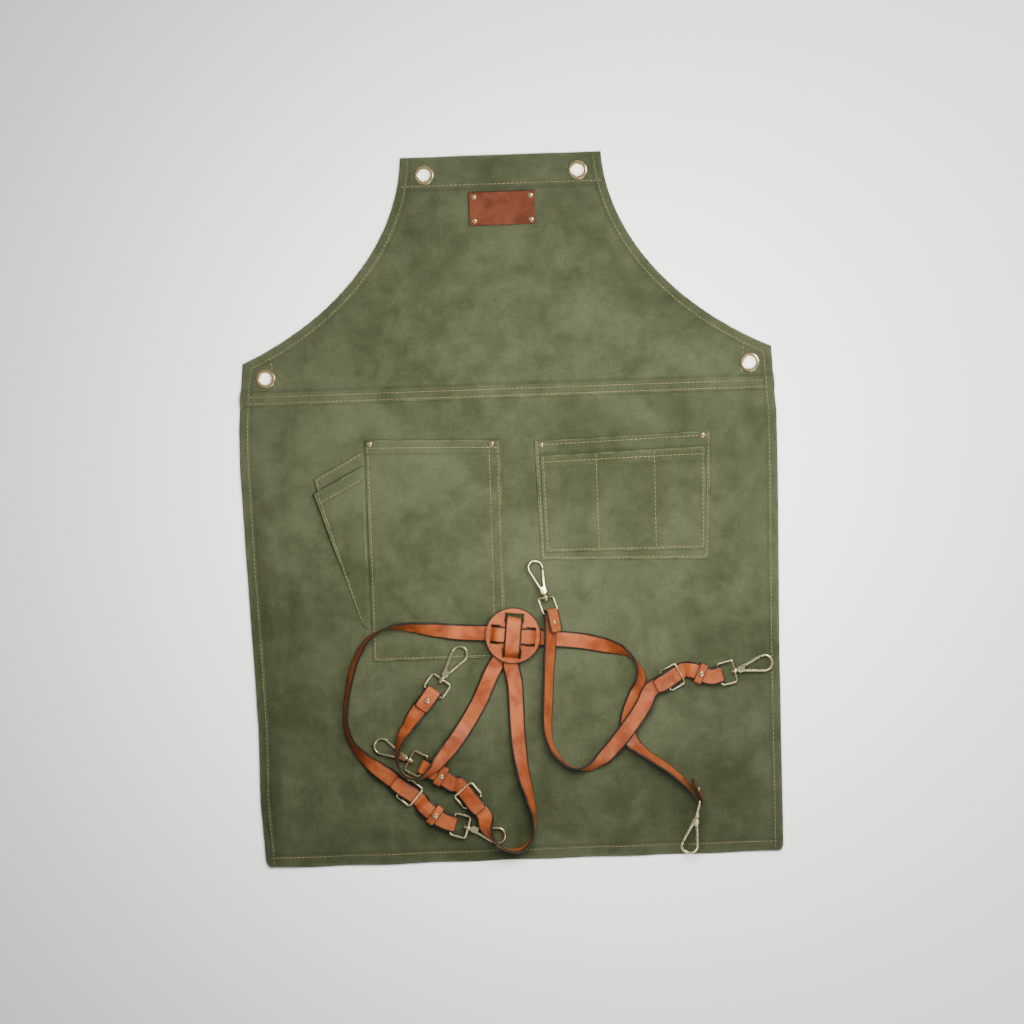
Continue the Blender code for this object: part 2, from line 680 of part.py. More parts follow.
def hook_meshes():
    """The strap loop, the hook with its post, and the gate, each in the hook's own frame."""
    half = STRAP_WIDTH / 2 + RING_SPARE
    loop = scratch(*wire(ring_points(0, LOOP_LENGTH, half, RING_CORNER), UP, BAR_RADIUS, 6, True))
    sideways = Matrix.Rotation(math.radians(90), 4, "Y")
    boss_points, boss_faces = prism(
        circle(0, 0, BOSS_RADIUS, 8), LOOP_LENGTH - BOSS_HALF, LOOP_LENGTH + BOSS_HALF
    )
    loop = combine(loop, scratch([sideways @ Vector(p) for p in boss_points], boss_faces), "UNION")
    bore_points, bore_faces = prism(circle(0, 0, POST_RADIUS + GAP, 8), 10 * MM, BLOCK_START)
    loop = combine(loop, scratch([sideways @ Vector(p) for p in bore_points], bore_faces), "DIFFERENCE")

    block = scratch(
        *prism(
            box_outline(BLOCK_START, BLOCK_END, -BLOCK_HALF, BLOCK_HALF),
            -BLOCK_HALF_HEIGHT,
            BLOCK_HALF_HEIGHT,
        )
    )
    slot = box_outline(GATE_U - GATE_EYE - GAP, BLOCK_END + MM, -BLOCK_HALF - MM, GATE_V + GATE_EYE + GAP)
    block = combine(
        block, scratch(*prism(slot, -GATE_HALF - 0.2 * MM, GATE_HALF + 0.2 * MM)), "DIFFERENCE"
    )
    pin = circle(GATE_U, GATE_V, GATE_PIN, 8)
    block = combine(
        block, scratch(*prism(pin, -BLOCK_HALF_HEIGHT + 0.2 * MM, BLOCK_HALF_HEIGHT - 0.2 * MM)), "UNION"
    )
    head_start = LOOP_LENGTH - BOSS_HALF - GAP
    for radius, start, end in (
        (POST_RADIUS, head_start - 1.6 * MM, BLOCK_START + MM),
        (POST_HEAD_RADIUS, head_start - 2 * MM, head_start),
    ):
        points, faces = prism(circle(0, 0, radius, 8), start, end)
        block = combine(block, scratch([sideways @ Vector(p) for p in points], faces), "UNION")
    lean = hook_lean()
    bow = [Vector((BLOCK_END - 2.5 * MM, HOOK_LEG_OUT, 0))]
    steps = 10
    for i in range(steps + 1):
        turn = math.radians(90) + lean - (math.radians(180) + 2 * lean) * i / steps
        bow.append(
            Vector((HOOK_TIP_CENTRE, 0, 0)) + HOOK_TIP_RADIUS * Vector((math.cos(turn), math.sin(turn), 0))
        )
    hook = combine(block, scratch(*wire(bow, UP, HOOK_WIRE, 6, False)), "UNION")

    nose = bow[-1]
    to_nose = (nose.xy - Vector((GATE_U, GATE_V)))
    reach = to_nose.length - GATE_NOSE_GAP
    way = to_nose.normalized()
    out = Vector((way.y, -way.x))
    eye = Vector((GATE_U, GATE_V))
    outline = [
        eye + way * reach + out * 1.1 * MM,
        eye + way * reach - out * 1.1 * MM,
        eye + way * GATE_EYE * 0.8 - out * 1.2 * MM,
    ]
    for i in range(1, 8):
        turn = math.radians(40) + math.radians(280) * i / 8
        outline.append(eye + GATE_EYE * (way * math.cos(turn) - out * math.sin(turn)))
    outline.append(eye + way * GATE_EYE * 0.8 + out * 1.2 * MM)
    gate = scratch(*prism([tuple(p) for p in outline], -GATE_HALF, GATE_HALF))
    bore = circle(GATE_U, GATE_V, GATE_BORE, 8)
    gate = combine(gate, scratch(*prism(bore, -2 * GATE_HALF, 2 * GATE_HALF)), "DIFFERENCE")
    gate.data.transform(Matrix.Translation((-GATE_U, -GATE_V, 0)))
    meshes = []
    for made in (loop, hook, gate):
        made.data.shade_smooth()
        made.data.set_sharp_from_angle(angle=math.radians(40))
        meshes.append(made.data)
        bpy.data.objects.remove(made)
    return meshes


def hook_lean():
    """The angle of the hook's straight sides to its middle line."""
    reach = HOOK_TIP_CENTRE - (BLOCK_END - 2.5 * MM)
    slant = math.hypot(reach, HOOK_LEG_OUT)
    return math.asin(HOOK_TIP_RADIUS / slant) - math.atan2(HOOK_LEG_OUT, reach)


def add_hook(name, meshes, steel, end, outward, bar_side, swing, roll):
    """A hook on a strap's end: swing turns it about the strap bar, roll turns its bow on the swivel."""
    bar = end.middle + Vector(bar_side).normalized() * WRAP
    turn = Matrix.Rotation(math.radians(swing), 3, end.width)
    along = turn @ Vector(outward).normalized()
    loop, hook, gate = meshes
    place_mesh(f"{name}_loop", loop, steel, frame_matrix(bar, along, end.width))
    across = UP.cross(along).normalized()
    across = Matrix.Rotation(math.radians(roll), 3, along) @ across
    matrix = frame_matrix(bar, along, across)
    place_mesh(f"{name}_bow", hook, steel, matrix)
    place_mesh(f"{name}_gate", gate, steel, matrix @ Matrix.Translation((GATE_U, GATE_V, 0)))


def add_buckle(name, steel):
    (x, y), angle = BUCKLES[name]
    half = STRAP_WIDTH / 2 + RING_SPARE
    line = ring_points(-BUCKLE_LENGTH / 2, BUCKLE_LENGTH / 2, half, RING_CORNER)
    shape = wire(line, UP, BAR_RADIUS, 6, True)
    matrix = Matrix.Translation((x, y, BAR_HEIGHT)) @ Matrix.Rotation(math.radians(angle), 4, "Z")
    place_mesh(name, mesh_from(name, *shape, smooth_angle=40), steel, matrix)


def buckle_point(name, share):
    """A place on a buckle's middle line: -1 is the heel bar, 1 the front bar."""
    centre, angle = BUCKLES[name]
    return Vector(centre) + heading_of(angle) * share * BUCKLE_LENGTH / 2


def into_buckle(name, lift=0.0):
    """The last rows of a strap that is folded round a buckle's heel bar, lifted ahead of it."""
    near, heel = buckle_point(name, -3.0), buckle_point(name, -1)
    return [(*near, ON_BAR + lift, 180), (*heel, ON_BAR, 180)]


def through_buckle(name):
    """The last rows of a tail: under the front bar, up through the frame and over the heel."""
    rows = []
    for share, base in ((1.6, ON_SKIRT + GAP), (0.85, ON_SKIRT + GAP), (-0.95, OVER_BUCKLE)):
        rows.append((*buckle_point(name, share), base, 0))
    tip = buckle_point(name, -1) - heading_of(BUCKLES[name][1]) * TIP_LENGTH
    rows.append((*tip, OVER_BUCKLE + TIP_CURL, 0))
    return rows


def on_disc(along, across):
    return DISC_PLACE + ALONG * along + ACROSS * across


def strap_x_rows():
    """From the lower right hook, through the disc from right to left, to the left buckle."""
    free = ON_SKIRT
    rows = [
        (0.1870, -0.3200, free + 4.2 * MM, 98),
        (0.1800, -0.3080, free + 3.0 * MM, 102),
        (0.1610, -0.2890, free, 110),
        (0.1390, -0.2730, free, 113),
        (0.1275, -0.2640, free, 124),
        (0.1195, -0.2565, free, 148),
        (0.1155, -0.2450, free, 164),
        (0.1150, -0.2360, free, 166),
        (0.1185, -0.2220, free, 168),
        (0.1250, -0.2060, free, 165),
        (0.1305, -0.1890, free, 132),
        (0.1275, -0.1730, free, 102),
        (0.1190, -0.1620, free, 75),
        (0.1060, -0.1550, free, 45),
        (0.0890, -0.1505, free, 18),
        (0.0660, -0.1460, free, 0),
    ]
    for along, base in (
        (31 * MM, UNDER_RIM),
        (SLOT_FAR, UNDER_RIM),
        (SLOT_NEAR, OVER_DISC),
        (-SLOT_NEAR, OVER_DISC),
        (-SLOT_FAR, UNDER_RIM),
        (-31 * MM, UNDER_RIM),
    ):
        rows.append((*on_disc(along, 0), base, 0))
    rows += [
        (-0.0600, -0.1325, ON_POCKET, 5),
        (-0.0825, -0.1294, ON_POCKET, 25),
        (-0.1093, -0.1253, ON_POCKET, 50),
        (-0.1260, -0.1238, ON_POCKET, 66),
        (-0.1420, -0.1260, ON_POCKET, 88),
        (-0.1580, -0.1355, ON_POCKET, 103),
        (-0.1705, -0.1532, ON_POCKET, 112),
        (-0.1787, -0.1745, free, 114),
        (-0.1839, -0.1990, free, 110),
        (-0.1858, -0.2226, free, 108),
        (-0.1812, -0.2443, free, 118),
        (-0.1678, -0.2625, free + 1.5 * MM, 138),
        (-0.1535, -0.2750, ON_BAR, 165),
    ]
    return rows + into_buckle("buckle_left")


def strap_y_rows():
    """From the upper left hook, round over the middle hook and up under the disc."""
    free = ON_SKIRT
    over = OVER_TAIL
    keeper = over + KEEPER + 2 * GAP
    return [
        (-0.0925, -0.1955, free, 180),
        (-0.0983, -0.2032, free, 180),
        (-0.1090, -0.2156, free, 165),
        (-0.1194, -0.2310, free + 3 * MM, 135),
        (-0.1280, -0.2450, OVER_HOOK, 116),
        (-0.1325, -0.2600, OVER_HOOK, 104),
        (-0.1300, -0.2740, OVER_HOOK + MM, 98),
        (-0.1205, -0.2840, over, 95),
        (-0.1080, -0.2850, over, 100),
        (-0.0960, -0.2775, keeper, 120),
        (-0.0850, -0.2650, keeper, 150),
        (-0.0706, -0.2490, free + 5 * MM, 170),
        (-0.0560, -0.2290, free, 178),
        (-0.0422, -0.2061, free, 180),
        (*on_disc(-19.3 * MM, -41.5 * MM), ON_POCKET, 180),
        (*on_disc(-8 * MM, -18 * MM), ON_POCKET, 180),
        (*on_disc(-1.5 * MM, 2 * MM), ON_POCKET, 180),
        (*on_disc(0, 13 * MM), ON_POCKET, 180),
    ]


def strap_y_lower_rows():
    """From the disc's upper slot over its middle, down and round to the middle buckle."""
    free = ON_SKIRT
    rows = []
    for across, base in (
        (13 * MM, OVER_CROSS),
        (-SLOT_NEAR + 0.5 * MM, OVER_CROSS),
        (-SLOT_FAR, UNDER_RIM),
        (-31 * MM, UNDER_RIM),
    ):
        rows.append((*on_disc(0, across), base, 0))
    return rows + [
        (-0.0040, -0.1900, free, 12),
        (-0.0035, -0.2150, free, 15),
        (-0.0025, -0.2506, free, 22),
        (0.0015, -0.2850, free, 42),
        (0.0078, -0.3120, free, 62),
        (0.0115, -0.3330, free, 78),
        (0.0095, -0.3530, free, 90),
        (-0.0025, -0.3660, free, 92),
        (-0.0180, -0.3660, free + 3 * MM, 86),
        (-0.0310, -0.3560, OVER_HOOK, 76),
        (-0.0395, -0.3420, OVER_HOOK, 42),
        *[(x, y, base, 0) for x, y, base, _ in into_buckle("buckle_middle")],
    ]


def strap_w_rows():
    """The waist strap: from the top hook down, round its low bend and up to the right buckle."""
    free = ON_SKIRT
    rows = [
        (0.0345, -0.1142, free + 5.0 * MM, 47),
        (0.0360, -0.1230, free + 5.5 * MM, 47),
        (0.0358, -0.1330, free + 7.5 * MM, 47),
        (0.0350, -0.1480, free + 7.5 * MM, 47),
        (0.0326, -0.1765, free, 50),
        (0.0304, -0.2087, free, 52),
        (0.0289, -0.2355, free, 58),
        (0.0324, -0.2571, free, 72),
        (0.0437, -0.2737, free, 86),
        (0.0574, -0.2820, free, 95),
        (0.0757, -0.2800, free, 125),
        (0.0925, -0.2660, free + 8 * MM, 162),
        (0.1095, -0.2470, free + 12.0 * MM, 176),
        (0.1240, -0.2290, free + 10.4 * MM, 180),
        (0.1335, -0.2150, free + 8.8 * MM, 182),
    ]
    return rows + into_buckle("buckle_right", TIP_CURL)


TAILS = {
    # Places (x, y) from the hook's bar to the buckle, and the hook's swing and roll
    "left": (
        "buckle_left",
        ((-0.0760, -0.3365), (-0.0855, -0.3330), (-0.0960, -0.3255), (-0.1050, -0.3170)),
        3.6,
        0,
    ),
    "middle": (
        "buckle_middle",
        ((-0.1050, -0.2750), (-0.0960, -0.2798), (-0.0860, -0.2855), (-0.0755, -0.2930)),
        3.6,
        0,
    ),
    "right": (
        "buckle_right",
        ((0.2150, -0.1870), (0.2060, -0.1890), (0.1970, -0.1860), (0.1865, -0.1815)),
        2.6,
        180,
    ),
}


def tail_rows(side):
    buckle, places, _, _ = TAILS[side]
    return [(x, y, ON_TAIL_BAR, 0) for x, y in places] + through_buckle(buckle)


def keeper_shape():
    """A closed band round the tail's two layers, in the frame of its middle."""
    half = STRAP_WIDTH / 2 + 2 * GAP
    high = WRAP + STRAP / 2 + GAP
    inner = box_outline(-half, half, -high, high)
    outer = box_outline(-half - KEEPER, half + KEEPER, -high - KEEPER, high + KEEPER)
    points, faces = [], []
    for end in (-KEEPER_WIDTH / 2, KEEPER_WIDTH / 2):
        points += [(end, y, z) for y, z in inner] + [(end, y, z) for y, z in outer]
    for i in range(4):
        k = (i + 1) % 4
        faces += [(i, k, 4 + k, 4 + i), (8 + i, 12 + i, 12 + k, 8 + k)]
        faces += [(i, 8 + i, 8 + k, k), (4 + i, 4 + k, 12 + k, 12 + i)]
    return points, faces


def add_tail(side, meshes, paints, rivet):
    """A tail: folded round its hook's bar, held by a keeper, threaded through its buckle."""
    buckle, places, swing, roll = TAILS[side]
    leather, steel, brass = paints
    main = route(tail_rows(side))
    end, outward, _ = hook_end(main)
    fold = wrap(end, outward, -UP, 0)
    fold[-1:] = follow_below(main, TAIL_FOLD)
    ribbon(f"tail_{side}", [*reversed(fold), *main], leather)
    add_hook(f"hook_{side}", meshes, steel, end, outward, -UP, swing, roll)
    keeper, way = along_route(main, KEEPER_FROM_BAR)
    middle = keeper - UP * WRAP
    matrix = frame_matrix(middle, way, UP.cross(way))
    place_mesh(f"keeper_{side}", mesh_from(f"keeper_{side}", *keeper_shape()), leather, matrix)
    top = middle + UP * (WRAP + STRAP / 2 + KEEPER + 2 * GAP)
    place_mesh(f"keeper_rivet_{side}", rivet, brass, Matrix.Translation(top))


def along_route(stations, distance):
    """The place at a distance along stations, and the way there."""
    done = 0.0
    for a, b in zip(stations, stations[1:]):
        step = (b.middle - a.middle).length
        if done + step >= distance:
            share = (distance - done) / step
            return a.middle.lerp(b.middle, share), (b.middle - a.middle).normalized()
        done += step
    return stations[-1].middle, (stations[-1].middle - stations[-2].middle).normalized()


def follow_below(stations, length):
    """The folded-back layer of a tail: below its main layer as far as a length from the bar."""
    below, done = [], 0.0
    for a, b in zip(stations, stations[1:]):
        done += (b.middle - a.middle).length
        if done > length:
            break
        below.append(Station(b.middle - UP * 2 * WRAP, b.width))
    return below


def heel_fold(name, end):
    """The last of a strap, folded round its buckle's heel bar and back under itself."""
    return wrap(end, heading_of(BUCKLES[name][1]).to_3d(), -UP, HEEL_FOLD)


def add_strap(name, stations, heel, hook, meshes, swing, roll, paints, rivet):
    """A strap with its hook and riveted fold at one end and the buckle's fold at the other."""
    leather, steel, brass = paints
    end, outward, over = hook_end(stations)
    fold = wrap(end, outward, over, END_FOLD)
    ribbon(f"strap_{name}", [*reversed(fold), *stations, *heel], leather)
    add_hook(f"hook_{hook}", meshes, steel, end, outward, over, swing, roll)
    place = fold[-2].middle.lerp(fold[-1].middle, 0.5) + over * (STRAP / 2 + GAP)
    matrix = frame_matrix(place, outward, over.cross(outward))
    place_mesh(f"end_rivet_{hook}", rivet, brass, matrix)


def add_straps(meshes, paints, rivet):
    cross = route(strap_x_rows())
    heel = heel_fold("buckle_left", cross[-1])
    add_strap("cross", cross, heel, "lower", meshes, -42, 0, paints, rivet)

    upper, lower = route(strap_y_rows()), route(strap_y_lower_rows())
    down = [*upper, *disc_turn_over(upper[-1], lower[0]), *lower]
    heel = heel_fold("buckle_middle", lower[-1])
    add_strap("down", down, heel, "upper", meshes, 0, 180, paints, rivet)

    waist = route(strap_w_rows())
    heel = heel_fold("buckle_right", waist[-1])
    add_strap("waist", waist, heel, "top", meshes, 10, 25, paints, rivet)


def disc_turn_over(below, above):
    """Stations of the half turn that carries a strap up through the disc's upper slot."""
    radius = (above.middle.z - below.middle.z) / 2
    centre = Vector((below.middle.x, below.middle.y, below.middle.z + radius))
    out = ACROSS.to_3d()
    stations = []
    steps = 7
    for i in range(1, steps):
        turn = math.pi * i / steps
        stations.append(
            Station(centre + out * radius * math.sin(turn) - UP * radius * math.cos(turn), below.width)
        )
    return stations


def add_disc(leather):
    disc = scratch(*prism(circle(0, 0, DISC_RADIUS, 28), DISC_LOW, DISC_LOW + DISC))
    half = STRAP_WIDTH / 2 + SLOT_SPARE
    for quarter in range(4):
        turn = Matrix.Rotation(math.radians(90) * quarter, 4, "Z")
        outline = box_outline(SLOT_NEAR, SLOT_FAR, -half, half)
        points, faces = prism(outline, DISC_LOW - MM, DISC_LOW + DISC + MM)
        disc = combine(disc, scratch([turn @ Vector(p) for p in points], faces), "DIFFERENCE")
    mesh = disc.data
    bpy.data.objects.remove(disc)
    matrix = Matrix.Translation(DISC_PLACE.to_3d()) @ Matrix.Rotation(DISC_TURN, 4, "Z")
    place_mesh("disc", mesh, leather, matrix)


def main():
    for made in list(bpy.data.objects):
        bpy.data.objects.remove(made)
    cloth = new_material("canvas", (0.135, 0.145, 0.085), 0.85)
    leather = new_material("leather", (0.45, 0.17, 0.065), 0.5)
    brass = new_material("brass", (0.70, 0.58, 0.33), 0.3, 1.0)
    steel = new_material("pale_brass", (0.72, 0.68, 0.52), 0.25, 1.0)
    add_cloth(cloth)
    add_eyelets(brass)
    rivet = rivet_mesh()
    rivet.materials.append(brass)
    add_label(leather, brass, rivet)
    add_pocket_rivets(brass, rivet)
    meshes = hook_meshes()
    for name in BUCKLES:
        add_buckle(name, steel)
    add_disc(leather)
    paints = (leather, steel, brass)
    add_straps(meshes, paints, rivet)
    for side in TAILS:
        add_tail(side, meshes, paints, rivet)


main()
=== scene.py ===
"""The looks of the canvas apron and its leather harness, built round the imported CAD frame."""

import json
import math

import bmesh
import bpy
import numpy as np
from mathutils import Matrix, Vector

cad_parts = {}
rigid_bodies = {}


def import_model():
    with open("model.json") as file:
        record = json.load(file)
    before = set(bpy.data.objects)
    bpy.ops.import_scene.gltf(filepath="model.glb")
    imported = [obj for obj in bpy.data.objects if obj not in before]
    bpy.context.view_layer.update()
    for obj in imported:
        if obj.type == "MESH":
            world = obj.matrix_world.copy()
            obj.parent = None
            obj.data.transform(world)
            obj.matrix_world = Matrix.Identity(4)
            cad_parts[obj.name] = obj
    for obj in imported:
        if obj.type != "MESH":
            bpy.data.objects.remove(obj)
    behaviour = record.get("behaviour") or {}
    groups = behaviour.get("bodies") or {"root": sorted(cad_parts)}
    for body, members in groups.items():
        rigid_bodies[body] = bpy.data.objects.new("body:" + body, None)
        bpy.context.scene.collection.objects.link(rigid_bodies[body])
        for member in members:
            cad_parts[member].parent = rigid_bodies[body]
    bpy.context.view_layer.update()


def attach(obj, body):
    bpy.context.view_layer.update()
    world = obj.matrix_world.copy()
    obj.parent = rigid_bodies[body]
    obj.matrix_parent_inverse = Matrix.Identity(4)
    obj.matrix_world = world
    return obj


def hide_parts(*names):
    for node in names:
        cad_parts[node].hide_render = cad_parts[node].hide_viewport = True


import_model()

MM = 0.001
UP = Vector((0, 0, 1))
GAP = 0.3 * MM

# Apron cloth, the same sizes as the CAD's
LENGTH = 0.757
BIB_LENGTH = 0.255
BIB_TOP_WIDTH = 0.216
SHOULDER_WIDTH = 0.567
HIP_WIDTH = 0.575
SHOULDER_ABOVE_SEAM = 0.040
CORNER_PATCH = 0.040
CLOTH = 1.2 * MM
HEM_EXTRA = 1.0 * MM
HEM = 0.010
TOP_HEM = 0.034
HEM_STEP = 1.5 * MM
SEAM_LAP = 0.012
TOP = LENGTH / 2
SEAM = TOP - BIB_LENGTH
ON_SKIRT = CLOTH + GAP
ON_POCKET = 2 * CLOTH + HEM_EXTRA + 2 * GAP

LEFT_POCKET = ((-0.156, 0.077), (-0.011, 0.073), (-0.012, -0.161), (-0.155, -0.161))
SIDE_POCKET_BACK = ((-0.212, 0.037), (-0.158, 0.066), (-0.158, 0.020), (-0.203, -0.004))
SIDE_POCKET = ((-0.213, 0.021), (-0.158, 0.050), (-0.158, -0.126), (-0.165, -0.122))
RIGHT_POCKET_BACK = ((0.026, 0.070), (0.216, 0.075), (0.209, -0.063), (0.029, -0.058))
RIGHT_POCKET = ((0.032, 0.054), (0.209, 0.058), (0.206, -0.052), (0.034, -0.050))
# Each pocket rivet's corner, and how far it is across from it and below it
POCKET_RIVETS = (
    (LEFT_POCKET[0], 0.0045, 0.0045),
    (LEFT_POCKET[1], -0.0095, 0.0045),
    (RIGHT_POCKET_BACK[0], 0.0065, 0.0045),
    (RIGHT_POCKET_BACK[1], -0.0100, 0.0050),
)
MOUTH_HEM = 0.014

EYELET_HOLE_RADIUS = 6.5 * MM
EYELET_FLANGE_RADIUS = 10.5 * MM
EYELET_WALL = 0.6 * MM
EYELET_FLANGE = 0.6 * MM
EYELETS = {
    "eyelet_top_left": (-0.0825, TOP - 0.0195),
    "eyelet_top_right": (0.0825, TOP - 0.0195),
    "eyelet_side_left": (-0.26, SEAM + 0.023),
    "eyelet_side_right": (0.26, SEAM + 0.023),
}
LABEL_WIDTH = 0.071
LABEL_HEIGHT = 0.036
LABEL_THICKNESS = 2.0 * MM
LABEL_BELOW_TOP = 0.0575

# Harness
STRAP_WIDTH = 18 * MM
STRAP = 2.4 * MM
KEEPER_WIDTH = 9 * MM
KEEPER = 1.2 * MM
DISC_RADIUS = 30 * MM
DISC = 3.0 * MM
SLOT_NEAR = 14.0 * MM
SLOT_FAR = 24.0 * MM
SLOT_SPARE = 1.2 * MM
BAR_RADIUS = 1.25 * MM
BUCKLE_LENGTH = 18 * MM
RING_SPARE = 2.8 * MM
LOOP_LENGTH = 17 * MM
END_FOLD = 22 * MM
HEEL_FOLD = 12 * MM
TAIL_FOLD = 27 * MM
KEEPER_FROM_BAR = 21 * MM
TIP_LENGTH = 12 * MM
TIP_CURL = 0.7 * MM
HOOK_WIRE = 1.5 * MM
HOOK_TIP_CENTRE = 50 * MM
HOOK_TIP_RADIUS = 8.2 * MM
BLOCK_START = 20.5 * MM
BLOCK_END = 28.5 * MM
BLOCK_HALF = 3.6 * MM
BLOCK_HALF_HEIGHT = 2.3 * MM
HOOK_LEG_OUT = 2.2 * MM
POST_RADIUS = 1.2 * MM
POST_HEAD_RADIUS = 2.3 * MM
BOSS_RADIUS = 3.0 * MM
BOSS_HALF = 2.2 * MM
GATE_EYE = 1.9 * MM
GATE_HALF = 1.0 * MM
GATE_NOSE_GAP = 0.5 * MM
GATE_U = 27.2 * MM
GATE_V = -2.4 * MM

LAYER = STRAP + GAP
WRAP = BAR_RADIUS + GAP + STRAP / 2
UNDER_RIM = ON_POCKET + LAYER
DISC_LOW = UNDER_RIM + LAYER
OVER_DISC = DISC_LOW + DISC + GAP
OVER_CROSS = OVER_DISC + LAYER
BAR_HEIGHT = ON_SKIRT + STRAP / 2 + WRAP + GAP
ON_BAR = BAR_HEIGHT + WRAP - STRAP / 2
OVER_BUCKLE = ON_BAR + LAYER
TAIL_BAR_HEIGHT = BAR_HEIGHT + KEEPER + GAP
ON_TAIL_BAR = TAIL_BAR_HEIGHT + WRAP - STRAP / 2
OVER_TAIL = ON_TAIL_BAR + LAYER
OVER_HOOK = TAIL_BAR_HEIGHT + BLOCK_HALF_HEIGHT + GAP

DISC_PLACE = Vector((-0.0043, -0.1375))
DISC_TURN = math.radians(-6.5)
ALONG = Vector((math.cos(DISC_TURN), math.sin(DISC_TURN)))
ACROSS = Vector((-math.sin(DISC_TURN), math.cos(DISC_TURN)))
BUCKLES = {
    "buckle_left": ((-0.1210, -0.3020), -40),
    "buckle_middle": ((-0.0585, -0.3074), 129),
    "buckle_right": ((0.1650, -0.1880), 28),
}

# Half width of the skirt by the share of its length from the seam, as the photo has it on each side
LEFT_SIDE = (
    (0.0, 0.2880),
    (0.06, 0.2900),
    (0.15, 0.2905),
    (0.4, 0.2862),
    (0.7, 0.2805),
    (0.86, 0.2812),
    (1.0, 0.2768),
)
RIGHT_SIDE = ((0.0, 0.2850), (0.06, 0.2870), (0.20, 0.2860), (0.5, 0.2820), (0.78, 0.2795), (1.0, 0.2780))
ARMHOLE_LEAVES_BIB = (0.023, 0.43)
ARMHOLE_MEETS_SHOULDER = (0.44, 0.80)

# Soft folds, as in the CAD: middle, heading, half length and half width as shares, and height
FOLDS = (
    (0.00, 0.458, 1, 0.653, 0.074, 3.0 * MM),
    (-0.90, -0.834, 88, 0.226, 0.045, 5.0 * MM),
    (-0.92, -0.336, 92, 0.256, 0.038, 3.5 * MM),
    (0.90, -0.834, 95, 0.181, 0.045, 4.0 * MM),
    (0.91, -0.231, 90, 0.196, 0.038, 3.0 * MM),
    (-0.42, 0.258, 48, 0.267, 0.089, 2.5 * MM),
    (0.42, 0.258, -48, 0.267, 0.089, 2.5 * MM),
)

# The band along an edge that has its own finer steps, and how far in the hems' stitches run
EDGE_BAND = 13.4 * MM
HEM_STITCH = 8.4 * MM
BOTTOM_STITCH = 10.4 * MM
SEAM_STITCH = 3.5 * MM
RIVET_RADIUS = 3.0 * MM
RIVET_HEIGHT = 1.6 * MM
RIVET_RIM = 0.45 * MM

THREAD_RADIUS = 0.30 * MM
STITCH = 3.4 * MM
STITCH_PITCH = 4.6 * MM


